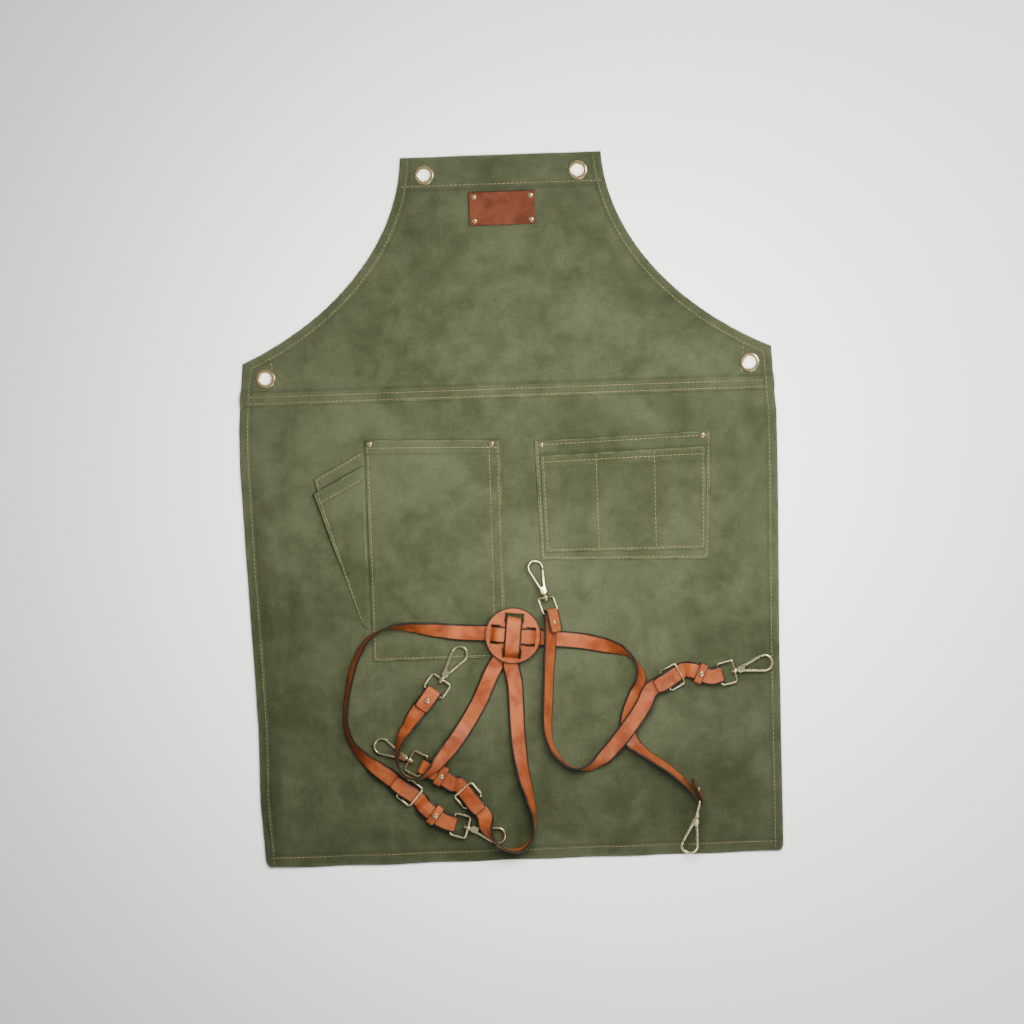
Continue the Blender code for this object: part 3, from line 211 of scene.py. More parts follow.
class Paint:
    """A material with short calls for its nodes."""

    def __init__(self, name, roughness=0.5, metallic=0.0):
        self.made = bpy.data.materials.new(name)
        self.made.use_nodes = True
        self.tree = self.made.node_tree
        self.shader = self.tree.nodes["Principled BSDF"]
        self.shader.inputs["Roughness"].default_value = roughness
        self.shader.inputs["Metallic"].default_value = metallic
        self.place = self.node("ShaderNodeTexCoord").outputs["Object"]

    def node(self, kind, **values):
        made = self.tree.nodes.new(kind)
        for name, value in values.items():
            setattr(made, name, value)
        return made

    def link(self, source, target):
        if isinstance(source, bpy.types.NodeSocket):
            self.tree.links.new(source, target)
        else:
            target.default_value = source

    def stretch(self, scale, turn=0.0):
        made = self.node("ShaderNodeMapping")
        self.link(self.place, made.inputs["Vector"])
        made.inputs["Scale"].default_value = scale
        made.inputs["Rotation"].default_value = (0, 0, math.radians(turn))
        return made.outputs[0]

    def noise(self, scale, detail=3.0, rough=0.5, vector=None, distort=0.0):
        made = self.node("ShaderNodeTexNoise")
        self.link(vector or self.place, made.inputs["Vector"])
        made.inputs["Scale"].default_value = scale
        made.inputs["Detail"].default_value = detail
        made.inputs["Roughness"].default_value = rough
        made.inputs["Distortion"].default_value = distort
        return made.outputs["Fac"]

    def cells(self, scale, vector=None, feature="F1", out="Distance"):
        made = self.node("ShaderNodeTexVoronoi", feature=feature)
        self.link(vector or self.place, made.inputs["Vector"])
        made.inputs["Scale"].default_value = scale
        return made.outputs[out]

    def wave(self, scale, direction, distort=0.0, vector=None):
        made = self.node("ShaderNodeTexWave", wave_type="BANDS", bands_direction=direction)
        self.link(vector or self.place, made.inputs["Vector"])
        made.inputs["Scale"].default_value = scale
        made.inputs["Distortion"].default_value = distort
        made.inputs["Detail"].default_value = 1.0
        return made.outputs["Fac"]

    def math(self, kind, a, b=0.0, clamp=False):
        made = self.node("ShaderNodeMath", operation=kind, use_clamp=clamp)
        self.link(a, made.inputs[0])
        self.link(b, made.inputs[1])
        return made.outputs[0]

    def ramp(self, value, low, high, out_low=0.0, out_high=1.0, smooth=True):
        made = self.node("ShaderNodeMapRange", clamp=True)
        made.interpolation_type = "SMOOTHSTEP" if smooth else "LINEAR"
        self.link(value, made.inputs["Value"])
        for name, number in (
            ("From Min", low),
            ("From Max", high),
            ("To Min", out_low),
            ("To Max", out_high),
        ):
            made.inputs[name].default_value = number
        return made.outputs["Result"]

    def mix(self, share, a, b, blend="MIX"):
        made = self.node("ShaderNodeMix", data_type="RGBA", blend_type=blend)
        self.link(share, made.inputs[0])
        for value, target in ((a, made.inputs[6]), (b, made.inputs[7])):
            if isinstance(value, bpy.types.NodeSocket):
                self.tree.links.new(value, target)
            else:
                target.default_value = (*value, 1)
        return made.outputs[2]

    def attribute(self, name):
        return self.node("ShaderNodeAttribute", attribute_name=name).outputs["Fac"]

    def bump(self, height, distance, strength=1.0, normal=None):
        made = self.node("ShaderNodeBump")
        made.inputs["Strength"].default_value = strength
        made.inputs["Distance"].default_value = distance
        self.link(height, made.inputs["Height"])
        if normal is not None:
            self.tree.links.new(normal, made.inputs["Normal"])
        return made.outputs["Normal"]

    def finish(self, colour=None, roughness=None, normal=None, **sockets):
        for value, name in ((colour, "Base Color"), (roughness, "Roughness"), (normal, "Normal")):
            if value is not None:
                self.tree.links.new(value, self.shader.inputs[name])
        for name, value in sockets.items():
            self.shader.inputs[name.replace("_", " ")].default_value = value
        return self.made


def canvas_paint(name="canvas_waxed", colour=(0.0360, 0.0415, 0.0200)):
    """Waxed cotton canvas: plain weave, cloudy wax, pull-up marks, and paler rubs along the hems; painted
    shade beside the hems' steps, and painted light and shade on the weave's relief.
    """
    p = Paint(name, 0.72)
    dark = tuple(c * k for c, k in zip(colour, (0.50, 0.54, 0.42)))
    light = tuple(c * k for c, k in zip(colour, (1.44, 1.40, 1.56)))
    broad = p.noise(4.6, 3, 0.5, distort=0.5)
    patch = p.noise(16, 5, 0.62, distort=0.5)
    small = p.noise(48, 4, 0.62, distort=0.3)
    cloud = p.math("ADD", p.math("MULTIPLY", broad, 0.42), p.math("MULTIPLY", patch, 0.34))
    cloud = p.math("ADD", cloud, p.math("MULTIPLY", small, 0.24))
    base = p.mix(p.ramp(cloud, 0.37, 0.63), dark, light)
    # Soft streaks where the wax was drawn out along the cloth's length and across it
    streak = p.noise(34, 3, 0.6, vector=p.stretch((1, 0.10, 1)))
    streak_across = p.noise(34, 3, 0.6, vector=p.stretch((0.10, 1, 1)))
    base = p.mix(p.ramp(streak, 0.52, 0.78, 0.0, 0.30), base, light)
    base = p.mix(p.ramp(streak_across, 0.54, 0.80, 0.0, 0.22), base, light)
    base = p.mix(p.ramp(streak, 0.46, 0.24, 0.0, 0.26), base, dark)
    # Pull-up marks: fine pale creases where the waxed cloth was folded
    crease = p.math("ABSOLUTE", p.math("SUBTRACT", p.noise(7, 6, 0.62, distort=1.1), 0.5))
    crease = p.ramp(crease, 0.0, 0.010, 1.0, 0.0)
    where = p.ramp(p.noise(11, 2, 0.5, vector=p.stretch((1, 1, 1), 40)), 0.50, 0.66)
    crease = p.math("MULTIPLY", crease, where)
    base = p.mix(p.math("MULTIPLY", crease, 0.22), base, tuple(c * 1.6 for c in colour))
    # Weave: partly the yarn's own uneven slub tone, partly painted light and shade on the weave's relief, its
    # raised crossings lighter and its gaps darker
    warp = p.wave(300, "X", 1.4)
    weft = p.wave(270, "Y", 1.4)
    weave = p.math("MULTIPLY", warp, weft)
    slub = p.noise(1300, 2, 0.6, vector=p.stretch((1, 0.10, 1)))
    slub_across = p.noise(1300, 2, 0.6, vector=p.stretch((0.10, 1, 1)))
    thread = p.math("ADD", p.math("MULTIPLY", slub, 0.5), p.math("MULTIPLY", slub_across, 0.5))
    tone = p.math("ADD", p.math("MULTIPLY", weave, 0.35), thread)
    base = p.mix(p.ramp(tone, 0.50, 0.90, 0.0, 0.45), base, light)
    base = p.mix(p.ramp(tone, 0.66, 0.40, 0.0, 0.40), base, dark)
    rub = p.math("MULTIPLY", p.attribute("rub"), p.ramp(p.noise(60, 4, 0.7), 0.36, 0.66))
    base = p.mix(p.math("MULTIPLY", rub, 0.7), base, tuple(c * 1.9 for c in colour))
    # Painted shade: the 'shade' mark darkens a narrow line just past each hem's step, where the raised hem
    # shades the cloth
    base = p.mix(p.math("MULTIPLY", p.attribute("shade"), 0.6), base, tuple(c * 0.42 for c in colour))
    rough = p.ramp(cloud, 0.4, 0.6, 0.62, 0.80)
    fine = p.math("ADD", p.math("MULTIPLY", weave, 0.8), p.math("MULTIPLY", thread, 0.7))
    normal = p.bump(patch, 0.0022, 0.4)
    normal = p.bump(crease, 0.0004, 0.5, normal)
    normal = p.bump(fine, 0.00024, 0.9, normal)
    return p.finish(base, rough, normal, Specular_IOR_Level=0.22, Sheen_Weight=0.02)


def leather_paint(name, colour, roughness=0.40):
    """Oiled tan leather with fine grain, rubbed tone and edges painted near-black; the darkening spreads onto
    the top face beside the edges as painted contact shadow.
    """
    p = Paint(name, roughness)
    deep = tuple(c * k for c, k in zip(colour, (0.52, 0.40, 0.32)))
    pale = tuple(min(1, c * k) for c, k in zip(colour, (1.20, 1.32, 1.5)))
    tone = p.noise(30, 5, 0.62, distort=0.6)
    base = p.mix(p.ramp(tone, 0.36, 0.60), deep, colour)
    # Broad darker stretches where the leather was handled
    base = p.mix(p.ramp(p.noise(12, 3, 0.5), 0.42, 0.64, 0.0, 0.45), base, deep)
    base = p.mix(p.ramp(p.noise(95, 4, 0.6), 0.5, 0.8, 0.0, 0.45), base, pale)
    pores = p.cells(1150, feature="F1")
    grain = p.cells(900, feature="DISTANCE_TO_EDGE")
    base = p.mix(p.ramp(grain, 0.0, 0.10, 0.34, 0.0), base, deep)
    base = p.mix(p.ramp(pores, 0.0, 0.18, 0.30, 0.0), base, deep)
    scratch = p.noise(420, 2, 0.5, vector=p.stretch((1, 0.06, 1), 25))
    base = p.mix(p.ramp(scratch, 0.66, 0.72, 0.0, 0.25), base, pale)
    # The 'edge' mark: near-black edge paint on the edges, and a darker band of the top face beside them that
    # is painted contact shadow
    ragged = p.math("MULTIPLY", p.math("SUBTRACT", p.noise(300, 2), 0.5), 0.35)
    edge = p.ramp(p.math("ADD", p.attribute("edge"), ragged), 0.30, 0.52)
    near = p.ramp(p.attribute("edge"), 0.0, 0.45, 0.0, 0.65)
    base = p.mix(near, base, deep)
    base = p.mix(edge, base, (0.010, 0.007, 0.005))
    rough = p.ramp(tone, 0.3, 0.7, roughness + 0.08, roughness - 0.08)
    normal = p.bump(p.ramp(grain, 0.0, 0.16), 0.00012, 0.7)
    normal = p.bump(p.noise(260, 4, 0.6), 0.0004, 0.35, normal)
    return p.finish(base, rough, normal, Specular_IOR_Level=0.38, Coat_Weight=0.06, Coat_Roughness=0.25)


def metal_paint(name, colour, roughness=0.24):
    """Plated brass with a soft polish, small scuffs and a slight tarnish in the tone."""
    p = Paint(name, roughness, 1.0)
    dull = tuple(c * k for c, k in zip(colour, (0.62, 0.56, 0.45)))
    tone = p.noise(170, 5, 0.65)
    base = p.mix(p.ramp(tone, 0.44, 0.74, 0.0, 0.65), colour, dull)
    scuff = p.noise(900, 3, 0.6, vector=p.stretch((1, 0.2, 0.6), 30))
    worn = p.ramp(tone, 0.3, 0.7, roughness - 0.05, roughness + 0.10)
    rough = p.math("ADD", worn, p.ramp(scuff, 0.6, 0.75, 0.0, 0.14))
    normal = p.bump(scuff, 0.00004, 0.5)
    return p.finish(base, rough, normal)


def thread_paint():
    """Twisted golden polyester thread, with painted shade in the grooves of its twist."""
    p = Paint("thread_gold", 0.5)
    twist = p.wave(900, "DIAGONAL", 0.6)
    tone = p.noise(45, 3, 0.6)
    base = p.mix(p.ramp(tone, 0.35, 0.7), (0.135, 0.092, 0.030), (0.215, 0.155, 0.055))
    # Painted shade in the grooves between the twist's plies
    base = p.mix(p.ramp(twist, 0.0, 0.5, 0.5, 0.0), base, (0.06, 0.042, 0.018))
    normal = p.bump(twist, 0.00012, 0.8)
    return p.finish(base, None, normal, Sheen_Weight=0.2)


def new_piece(name, points, faces, paint, smooth=40, attributes=None):
    mesh = bpy.data.meshes.new(name)
    mesh.from_pydata([tuple(p) for p in points], [], faces)
    mesh.validate()
    shape = bmesh.new()
    shape.from_mesh(mesh)
    bmesh.ops.recalc_face_normals(shape, faces=shape.faces)
    shape.to_mesh(mesh)
    shape.free()
    mesh.shade_smooth()
    if smooth is not None:
        mesh.set_sharp_from_angle(angle=math.radians(smooth))
    for key, values in (attributes or {}).items():
        layer = mesh.attributes.new(key, "FLOAT", "POINT")
        layer.data.foreach_set("value", np.asarray(values, np.float32))
    mesh.materials.append(paint)
    made = bpy.data.objects.new(name, mesh)
    bpy.context.scene.collection.objects.link(made)
    return made


def stand_for(piece, body, *nodes, slot=None):
    """The piece rides on a body and stands for its CAD nodes."""
    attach(piece, body)
    if nodes:
        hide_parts(*nodes)


def smooth_step(share):
    share = np.clip(share, 0, 1)
    return share * share * (3 - 2 * share)


def prism(outline, low, high):
    count = len(outline)
    points = [(x, y, low) for x, y in outline] + [(x, y, high) for x, y in outline]
    walls = [(i, (i + 1) % count, count + (i + 1) % count, count + i) for i in range(count)]
    return points, [tuple(range(count))[::-1], tuple(range(count, 2 * count)), *walls]


def circle(x, y, radius, sides):
    turns = [2 * math.pi * i / sides for i in range(sides)]
    return [(x + radius * math.cos(a), y + radius * math.sin(a)) for a in turns]


def turned(profile, sides):
    """A closed (radius, height) profile spun about Z, off the axis all round."""
    count = len(profile)
    points = [
        (r * math.cos(a), r * math.sin(a), z)
        for a in (2 * math.pi * i / sides for i in range(sides))
        for r, z in profile
    ]
    faces = []
    for i in range(sides):
        here, there = i * count, (i + 1) % sides * count
        for j in range(count):
            k = (j + 1) % count
            faces.append((here + j, there + j, there + k, here + k))
    return points, faces


def cap(profile, sides):
    """As turned, for a profile from the middle of the base to the top point on the axis."""
    points = [(0, 0, profile[0][1])]
    for r, z in profile[1:-1]:
        points += [(x, y, z) for x, y in circle(0, 0, r, sides)]
    points.append((0, 0, profile[-1][1]))
    rings, last, faces = len(profile) - 2, len(points) - 1, []
    for i in range(sides):
        k = (i + 1) % sides
        faces.append((0, 1 + k, 1 + i))
        for j in range(rings - 1):
            a, b = 1 + j * sides, 1 + (j + 1) * sides
            faces.append((a + i, a + k, b + k, b + i))
        top = 1 + (rings - 1) * sides
        faces.append((top + i, top + k, last))
    return points, faces


def joined(*shapes):
    points, faces = [], []
    for some_points, some_faces in shapes:
        start = len(points)
        points += [tuple(p) for p in some_points]
        faces += [tuple(start + i for i in face) for face in some_faces]
    return points, faces


def moved(shape, matrix):
    points, faces = shape
    return [tuple(matrix @ Vector(p)) for p in points], faces


def grid_faces(rows, across):
    """Faces of a closed sheet: all upper points first, then all lower ones."""
    index = np.arange(rows * across).reshape(rows, across)
    a, b, c, d = index[:-1, :-1], index[:-1, 1:], index[1:, 1:], index[1:, :-1]
    top = np.stack([a, b, c, d], -1).reshape(-1, 4)
    below = rows * across
    bottom = top[:, ::-1] + below
    rim = np.concatenate([index[0, :-1], index[:-1, -1], index[-1, :0:-1], index[:0:-1, 0]])
    after = np.roll(rim, -1)
    walls = np.stack([rim, rim + below, after + below, after], -1)
    return np.concatenate([top, bottom, walls]).tolist()


def fold_lift(x, y):
    """How far the soft folds lift the cloth, for arrays of places."""
    lift = np.zeros_like(x)
    for across, up, heading, long, wide, height in FOLDS:
        panel = BIB_LENGTH if up > 0 else LENGTH - BIB_LENGTH
        dx, dy = x - across * HIP_WIDTH / 2, y - SEAM - up * panel
        turn = math.radians(heading)
        run = (dx * math.cos(turn) + dy * math.sin(turn)) / (long * panel)
        side = (dy * math.cos(turn) - dx * math.sin(turn)) / (wide * panel)
        inside = (np.abs(run) < 1) & (np.abs(side) < 1)
        swell = height * (1 - run * run) ** 2 * (1 - side * side) ** 2
        lift = np.where(inside, np.maximum(lift, swell), lift)
    return lift


def waves(x, y, size, seed):
    """Smooth irregular waves of about the given length, between -1 and 1."""
    total = np.zeros_like(x)
    for i in range(6):
        turn = 1.3 * seed + 2.399 * i
        length = size * (0.75 + 0.13 * ((i * 5 + seed) % 5))
        phase = 1.7 * i + 0.9 * seed
        total += np.sin(2 * math.pi * (x * math.cos(turn) + y * math.sin(turn)) / length + phase)
    return total / 6


def distance_to(x, y, points):
    """Distance of each place to a line of points."""
    best = np.full(x.shape, 9.0)
    for (ax, ay), (bx, by) in zip(points, points[1:]):
        dx, dy = bx - ax, by - ay
        size = dx * dx + dy * dy
        if size < 1e-12:
            continue
        share = np.clip(((x - ax) * dx + (y - ay) * dy) / size, 0, 1)
        best = np.minimum(best, np.hypot(x - ax - share * dx, y - ay - share * dy))
    return best


def inside_box(x, y, corners, margin):
    """How deep each place is inside a pocket's bounding box grown by a margin, 0 outside."""
    xs, ys = [c[0] for c in corners], [c[1] for c in corners]
    dx = np.minimum(x - min(xs) + margin, max(xs) + margin - x)
    dy = np.minimum(y - min(ys) + margin, max(ys) + margin - y)
    return np.clip(np.minimum(dx, dy), 0, None)


class Station:
    def __init__(self, middle, width):
        self.middle = Vector(middle)
        self.width = Vector(width).normalized()


def heading_of(angle):
    turn = math.radians(angle)
    return Vector((math.cos(turn), math.sin(turn)))


def station_at(around, near, far, t):
    """The station at share t between two rows, on the curve through the four places around it."""
    p0, p1, p2, p3 = around
    square, cube = p0 * 2 - p1 * 5 + p2 * 4 - p3, p1 * 3 - p0 - p2 * 3 + p3
    place = (p1 * 2 + (p2 - p0) * t + square * t * t + cube * t**3) / 2
    way = ((p2 - p0) + square * 2 * t + cube * 3 * t * t).normalized()
    ease = float(smooth_step(t))
    base = near[2] + (far[2] - near[2]) * ease
    roll = math.radians(near[3] + (far[3] - near[3]) * ease)
    width = Vector((way.y, -way.x, 0)) * math.cos(roll) + UP * math.sin(roll)
    reach = abs(math.sin(roll)) * STRAP_WIDTH / 2 + abs(math.cos(roll)) * STRAP / 2
    return Station((place.x, place.y, base + reach), width)


def step_count(run, near, far, step, rise_step, twist_step):
    """How many steps a stretch takes, by its length, its rise and its twist."""
    rise, twist = abs(far[2] - near[2]), abs(far[3] - near[3])
    return max(1, math.ceil(max(run / step, rise / rise_step, twist / twist_step)))


def route(rows):
    """A strap's stations along rows of (x, y, base, roll): the CAD's route in finer steps."""
    places = [Vector(r[:2]) for r in rows]
    whole = [2 * places[0] - places[1], *places, 2 * places[-1] - places[-2]]
    stations = []
    for i, (near, far) in enumerate(zip(rows, rows[1:])):
        run = (places[i + 1] - places[i]).length
        count = step_count(run, near, far, 2.5 * MM, 0.7 * MM, 5)
        last = i == len(rows) - 2
        for k in range(count + last):
            stations.append(station_at(whole[i : i + 4], near, far, k / count))
    return stations


def coarse_start(rows):
    """The CAD's first two stations of a route, which set its hook's place."""
    places = [Vector(r[:2]) for r in rows[:3]]
    around = [2 * places[0] - places[1], *places]
    run = (places[1] - places[0]).length
    count = step_count(run, rows[0], rows[1], 10 * MM, 2 * MM, 17)
    return [station_at(around, rows[0], rows[1], k / count) for k in (0, 1)]


def wrap(end, outward, bar_side, length, half_turn=14):
    """Stations of a strap's fold round a bar and back along itself for a length."""
    out, side = Vector(outward).normalized(), Vector(bar_side).normalized()
    bar = end.middle + side * WRAP
    stations = []
    for i in range(1, half_turn + 1):
        turn = math.pi * i / half_turn
        arc = -side * math.cos(turn) + out * math.sin(turn)
        stations.append(Station(bar + arc * WRAP, end.width))
    steps = max(1, round(length / (3 * MM)))
    for i in range(1, steps + 1):
        stations.append(Station(bar + side * WRAP - out * length * i / steps, end.width))
    return stations


def hook_end(stations):
    """A strap's end from its first two stations, with its way out and the side of its hook's bar."""
    first = stations[0]
    outward = (first.middle - stations[1].middle).normalized()
    width = (first.width - outward * first.width.dot(outward)).normalized()
    normal = outward.cross(width).normalized()
    return Station(first.middle, width), outward, normal if normal.z > 0 else -normal


def frame_matrix(origin, along, across):
    x = Vector(along).normalized()
    z = x.cross(Vector(across)).normalized()
    y = z.cross(x)
    turn = Matrix((x, y, z)).transposed().to_4x4()
    return Matrix.Translation(origin) @ turn


def buckle_point(name, share):
    centre, angle = BUCKLES[name]
    return Vector(centre) + heading_of(angle) * share * BUCKLE_LENGTH / 2


def into_buckle(name, lift=0.0):
    near, heel = buckle_point(name, -3.0), buckle_point(name, -1)
    return [(*near, ON_BAR + lift, 180), (*heel, ON_BAR, 180)]


def through_buckle(name):
    rows = []
    for share, base in ((1.6, ON_SKIRT + GAP), (0.85, ON_SKIRT + GAP), (-0.95, OVER_BUCKLE)):
        rows.append((*buckle_point(name, share), base, 0))
    tip = buckle_point(name, -1) - heading_of(BUCKLES[name][1]) * TIP_LENGTH
    rows.append((*tip, OVER_BUCKLE + TIP_CURL, 0))
    return rows


def on_disc(along, across):
    return DISC_PLACE + ALONG * along + ACROSS * across


def strap_x_rows():
    free = ON_SKIRT
    rows = [
        (0.1870, -0.3200, free + 4.2 * MM, 98),
        (0.1800, -0.3080, free + 3.0 * MM, 102),
        (0.1610, -0.2890, free, 110),
        (0.1390, -0.2730, free, 113),
        (0.1275, -0.2640, free, 124),
        (0.1195, -0.2565, free, 148),
        (0.1155, -0.2450, free, 164),
        (0.1150, -0.2360, free, 166),
        (0.1185, -0.2220, free, 168),
        (0.1250, -0.2060, free, 165),
        (0.1305, -0.1890, free, 132),
        (0.1275, -0.1730, free, 102),
        (0.1190, -0.1620, free, 75),
        (0.1060, -0.1550, free, 45),
        (0.0890, -0.1505, free, 18),
        (0.0660, -0.1460, free, 0),
    ]
    for along, base in (
        (31 * MM, UNDER_RIM),
        (SLOT_FAR, UNDER_RIM),
        (SLOT_NEAR, OVER_DISC),
        (-SLOT_NEAR, OVER_DISC),
        (-SLOT_FAR, UNDER_RIM),
        (-31 * MM, UNDER_RIM),
    ):
        rows.append((*on_disc(along, 0), base, 0))
    rows += [
        (-0.0600, -0.1325, ON_POCKET, 5),
        (-0.0825, -0.1294, ON_POCKET, 25),
        (-0.1093, -0.1253, ON_POCKET, 50),
        (-0.1260, -0.1238, ON_POCKET, 66),
        (-0.1420, -0.1260, ON_POCKET, 88),
        (-0.1580, -0.1355, ON_POCKET, 103),
        (-0.1705, -0.1532, ON_POCKET, 112),
        (-0.1787, -0.1745, free, 114),
        (-0.1839, -0.1990, free, 110),
        (-0.1858, -0.2226, free, 108),
        (-0.1812, -0.2443, free, 118),
        (-0.1678, -0.2625, free + 1.5 * MM, 138),
        (-0.1535, -0.2750, ON_BAR, 165),
    ]
    return rows + into_buckle("buckle_left")


def strap_y_rows():
    free = ON_SKIRT
    over = OVER_TAIL
    keeper = over + KEEPER + 2 * GAP
    return [
        (-0.0925, -0.1955, free, 180),
        (-0.0983, -0.2032, free, 180),
        (-0.1090, -0.2156, free, 165),
        (-0.1194, -0.2310, free + 3 * MM, 135),
        (-0.1280, -0.2450, OVER_HOOK, 116),
        (-0.1325, -0.2600, OVER_HOOK, 104),
        (-0.1300, -0.2740, OVER_HOOK + MM, 98),
        (-0.1205, -0.2840, over, 95),
        (-0.1080, -0.2850, over, 100),
        (-0.0960, -0.2775, keeper, 120),
        (-0.0850, -0.2650, keeper, 150),
        (-0.0706, -0.2490, free + 5 * MM, 170),
        (-0.0560, -0.2290, free, 178),
        (-0.0422, -0.2061, free, 180),
        (*on_disc(-19.3 * MM, -41.5 * MM), ON_POCKET, 180),
        (*on_disc(-8 * MM, -18 * MM), ON_POCKET, 180),
        (*on_disc(-1.5 * MM, 2 * MM), ON_POCKET, 180),
        (*on_disc(0, 13 * MM), ON_POCKET, 180),
    ]


def strap_y_lower_rows():
    free = ON_SKIRT
    rows = []
    for across, base in (
        (13 * MM, OVER_CROSS),
        (-SLOT_NEAR + 0.5 * MM, OVER_CROSS),
        (-SLOT_FAR, UNDER_RIM),
        (-31 * MM, UNDER_RIM),
    ):
        rows.append((*on_disc(0, across), base, 0))
    return rows + [
        (-0.0040, -0.1900, free, 12),
        (-0.0035, -0.2150, free, 15),
        (-0.0025, -0.2506, free, 22),
        (0.0015, -0.2850, free, 42),
        (0.0078, -0.3120, free, 62),
        (0.0115, -0.3330, free, 78),
        (0.0095, -0.3530, free, 90),
        (-0.0025, -0.3660, free, 92),
        (-0.0180, -0.3660, free + 3 * MM, 86),
        (-0.0310, -0.3560, OVER_HOOK, 76),
        (-0.0395, -0.3420, OVER_HOOK, 42),
        *[(x, y, base, 0) for x, y, base, _ in into_buckle("buckle_middle")],
    ]


def strap_w_rows():
    free = ON_SKIRT
    rows = [
        (0.0345, -0.1142, free + 5.0 * MM, 47),
        (0.0360, -0.1230, free + 5.5 * MM, 47),
        (0.0358, -0.1330, free + 7.5 * MM, 47),
        (0.0350, -0.1480, free + 7.5 * MM, 47),
        (0.0326, -0.1765, free, 50),
        (0.0304, -0.2087, free, 52),
        (0.0289, -0.2355, free, 58),
        (0.0324, -0.2571, free, 72),
        (0.0437, -0.2737, free, 86),
        (0.0574, -0.2820, free, 95),
        (0.0757, -0.2800, free, 125),
        (0.0925, -0.2660, free + 8 * MM, 162),
        (0.1095, -0.2470, free + 12.0 * MM, 176),
        (0.1240, -0.2290, free + 10.4 * MM, 180),
        (0.1335, -0.2150, free + 8.8 * MM, 182),
    ]
    return rows + into_buckle("buckle_right", TIP_CURL)


# Each tail's buckle, its places from the hook on, and its hook's swing and roll in degrees
TAILS = {
    "left": (
        "buckle_left",
        ((-0.0760, -0.3365), (-0.0855, -0.3330), (-0.0960, -0.3255), (-0.1050, -0.3170)),
        3.6,
        0,
    ),
    "middle": (
        "buckle_middle",
        ((-0.1050, -0.2750), (-0.0960, -0.2798), (-0.0860, -0.2855), (-0.0755, -0.2930)),
        3.6,
        0,
    ),
    "right": (
        "buckle_right",
        ((0.2150, -0.1870), (0.2060, -0.1890), (0.1970, -0.1860), (0.1865, -0.1815)),
        2.6,
        180,
    ),
}


def tail_rows(side):
    buckle, places, _, _ = TAILS[side]
    return [(x, y, ON_TAIL_BAR, 0) for x, y in places] + through_buckle(buckle)


def along_route(stations, distance):
    done = 0.0
    for a, b in zip(stations, stations[1:]):
        step = (b.middle - a.middle).length
        if done + step >= distance:
            share = (distance - done) / step
            return a.middle.lerp(b.middle, share), (b.middle - a.middle).normalized()
        done += step
    return stations[-1].middle, (stations[-1].middle - stations[-2].middle).normalized()


def follow_below(stations, length):
    below, done = [], 0.0
    for a, b in zip(stations, stations[1:]):
        done += (b.middle - a.middle).length
        if done > length:
            break
        below.append(Station(b.middle - UP * 2 * WRAP, b.width))
    return below


def disc_turn_over(below, above, steps=14):
    radius = (above.middle.z - below.middle.z) / 2
    centre = Vector((below.middle.x, below.middle.y, below.middle.z + radius))
    out = ACROSS.to_3d()
    stations = []
    for i in range(1, steps):
        turn = math.pi * i / steps
        stations.append(
            Station(centre + out * radius * math.sin(turn) - UP * radius * math.cos(turn), below.width)
        )
    return stations


# A strap's section: across as a share of half the width less an inset, and up as a share of half the
# thickness, with 1 on the painted edge. The mark rises over a band of the top face beside each edge:
# edge paint wrapping over the corner, widened as painted contact shadow along the strap's sides
SECTION = (
    (0.0, 0.0, 1.0, 0.0),
    (0.55, 0.0, 0.99, 0.0),
    (1.0, -2.3, 0.96, 0.0),
    (1.0, -1.2, 0.88, 0.85),
    (1.0, -0.22, 0.62, 1.0),
    (1.0, 0.0, 0.25, 1.0),
)


def section_points(half, thick):
    quarter = [(share * half + inset * MM, up * thick, edge) for share, inset, up, edge in SECTION]
    right = quarter + [(x, -z, e) for x, z, e in reversed(quarter)]
    left = [(-x, z, e) for x, z, e in reversed(right[1:-1])]
    return right + left


def ribbon(name, stations, paint, start_round=0.0, end_round=0.0):
    """A strap with soft painted edges and painted contact shadow beside them; its ends may be rounded off
    over a length.
    """
    section = section_points(STRAP_WIDTH / 2, STRAP / 2)
    size, count = len(section), len(stations)
    run = [0.0]
    for a, b in zip(stations, stations[1:]):
        run.append(run[-1] + (b.middle - a.middle).length)
    points, edges = [], []
    for i, station in enumerate(stations):
        back, front = stations[max(i - 1, 0)].middle, stations[min(i + 1, count - 1)].middle
        way = (front - back).normalized()
        width = (station.width - way * station.width.dot(way)).normalized()
        normal = way.cross(width)
        scale, near = 1.0, 0.0
        for distance, reach in ((run[i], start_round), (run[-1] - run[i], end_round)):
            if reach and distance < reach:
                scale = math.sqrt(max(0.02, 1 - (1 - distance / reach) ** 2)) * 0.35 + 0.65
        for distance in (run[i], run[-1] - run[i]):
            near = max(near, 1 - distance / (0.9 * MM))
        for across, up, edge in section:
            points.append(station.middle + width * across * scale + normal * up)
            edges.append(max(edge, near))
    faces = []
    for i in range(count - 1):
        a, b = size * i, size * (i + 1)
        for j in range(size):
            k = (j + 1) % size
            faces.append((a + j, a + k, b + k, b + j))
    faces.append(tuple(range(size))[::-1])
    faces.append(tuple(size * (count - 1) + j for j in range(size)))
    return new_piece(name, points, faces, paint, 60, {"edge": edges})


def end_steps(stations):
    """Adds two close stations at each end, for the dark end edge."""
    made = list(stations)
    for end, inner in ((0, 1), (-1, -2)):
        a, b = made[end], made[inner]
        gap = (b.middle - a.middle).length
        extra = [Station(a.middle.lerp(b.middle, min(0.9, d * MM / gap)), a.width) for d in (0.3, 1.0)]
        if end == 0:
            made[1:1] = extra
        else:
            made[-1:-1] = list(reversed(extra))
    return made


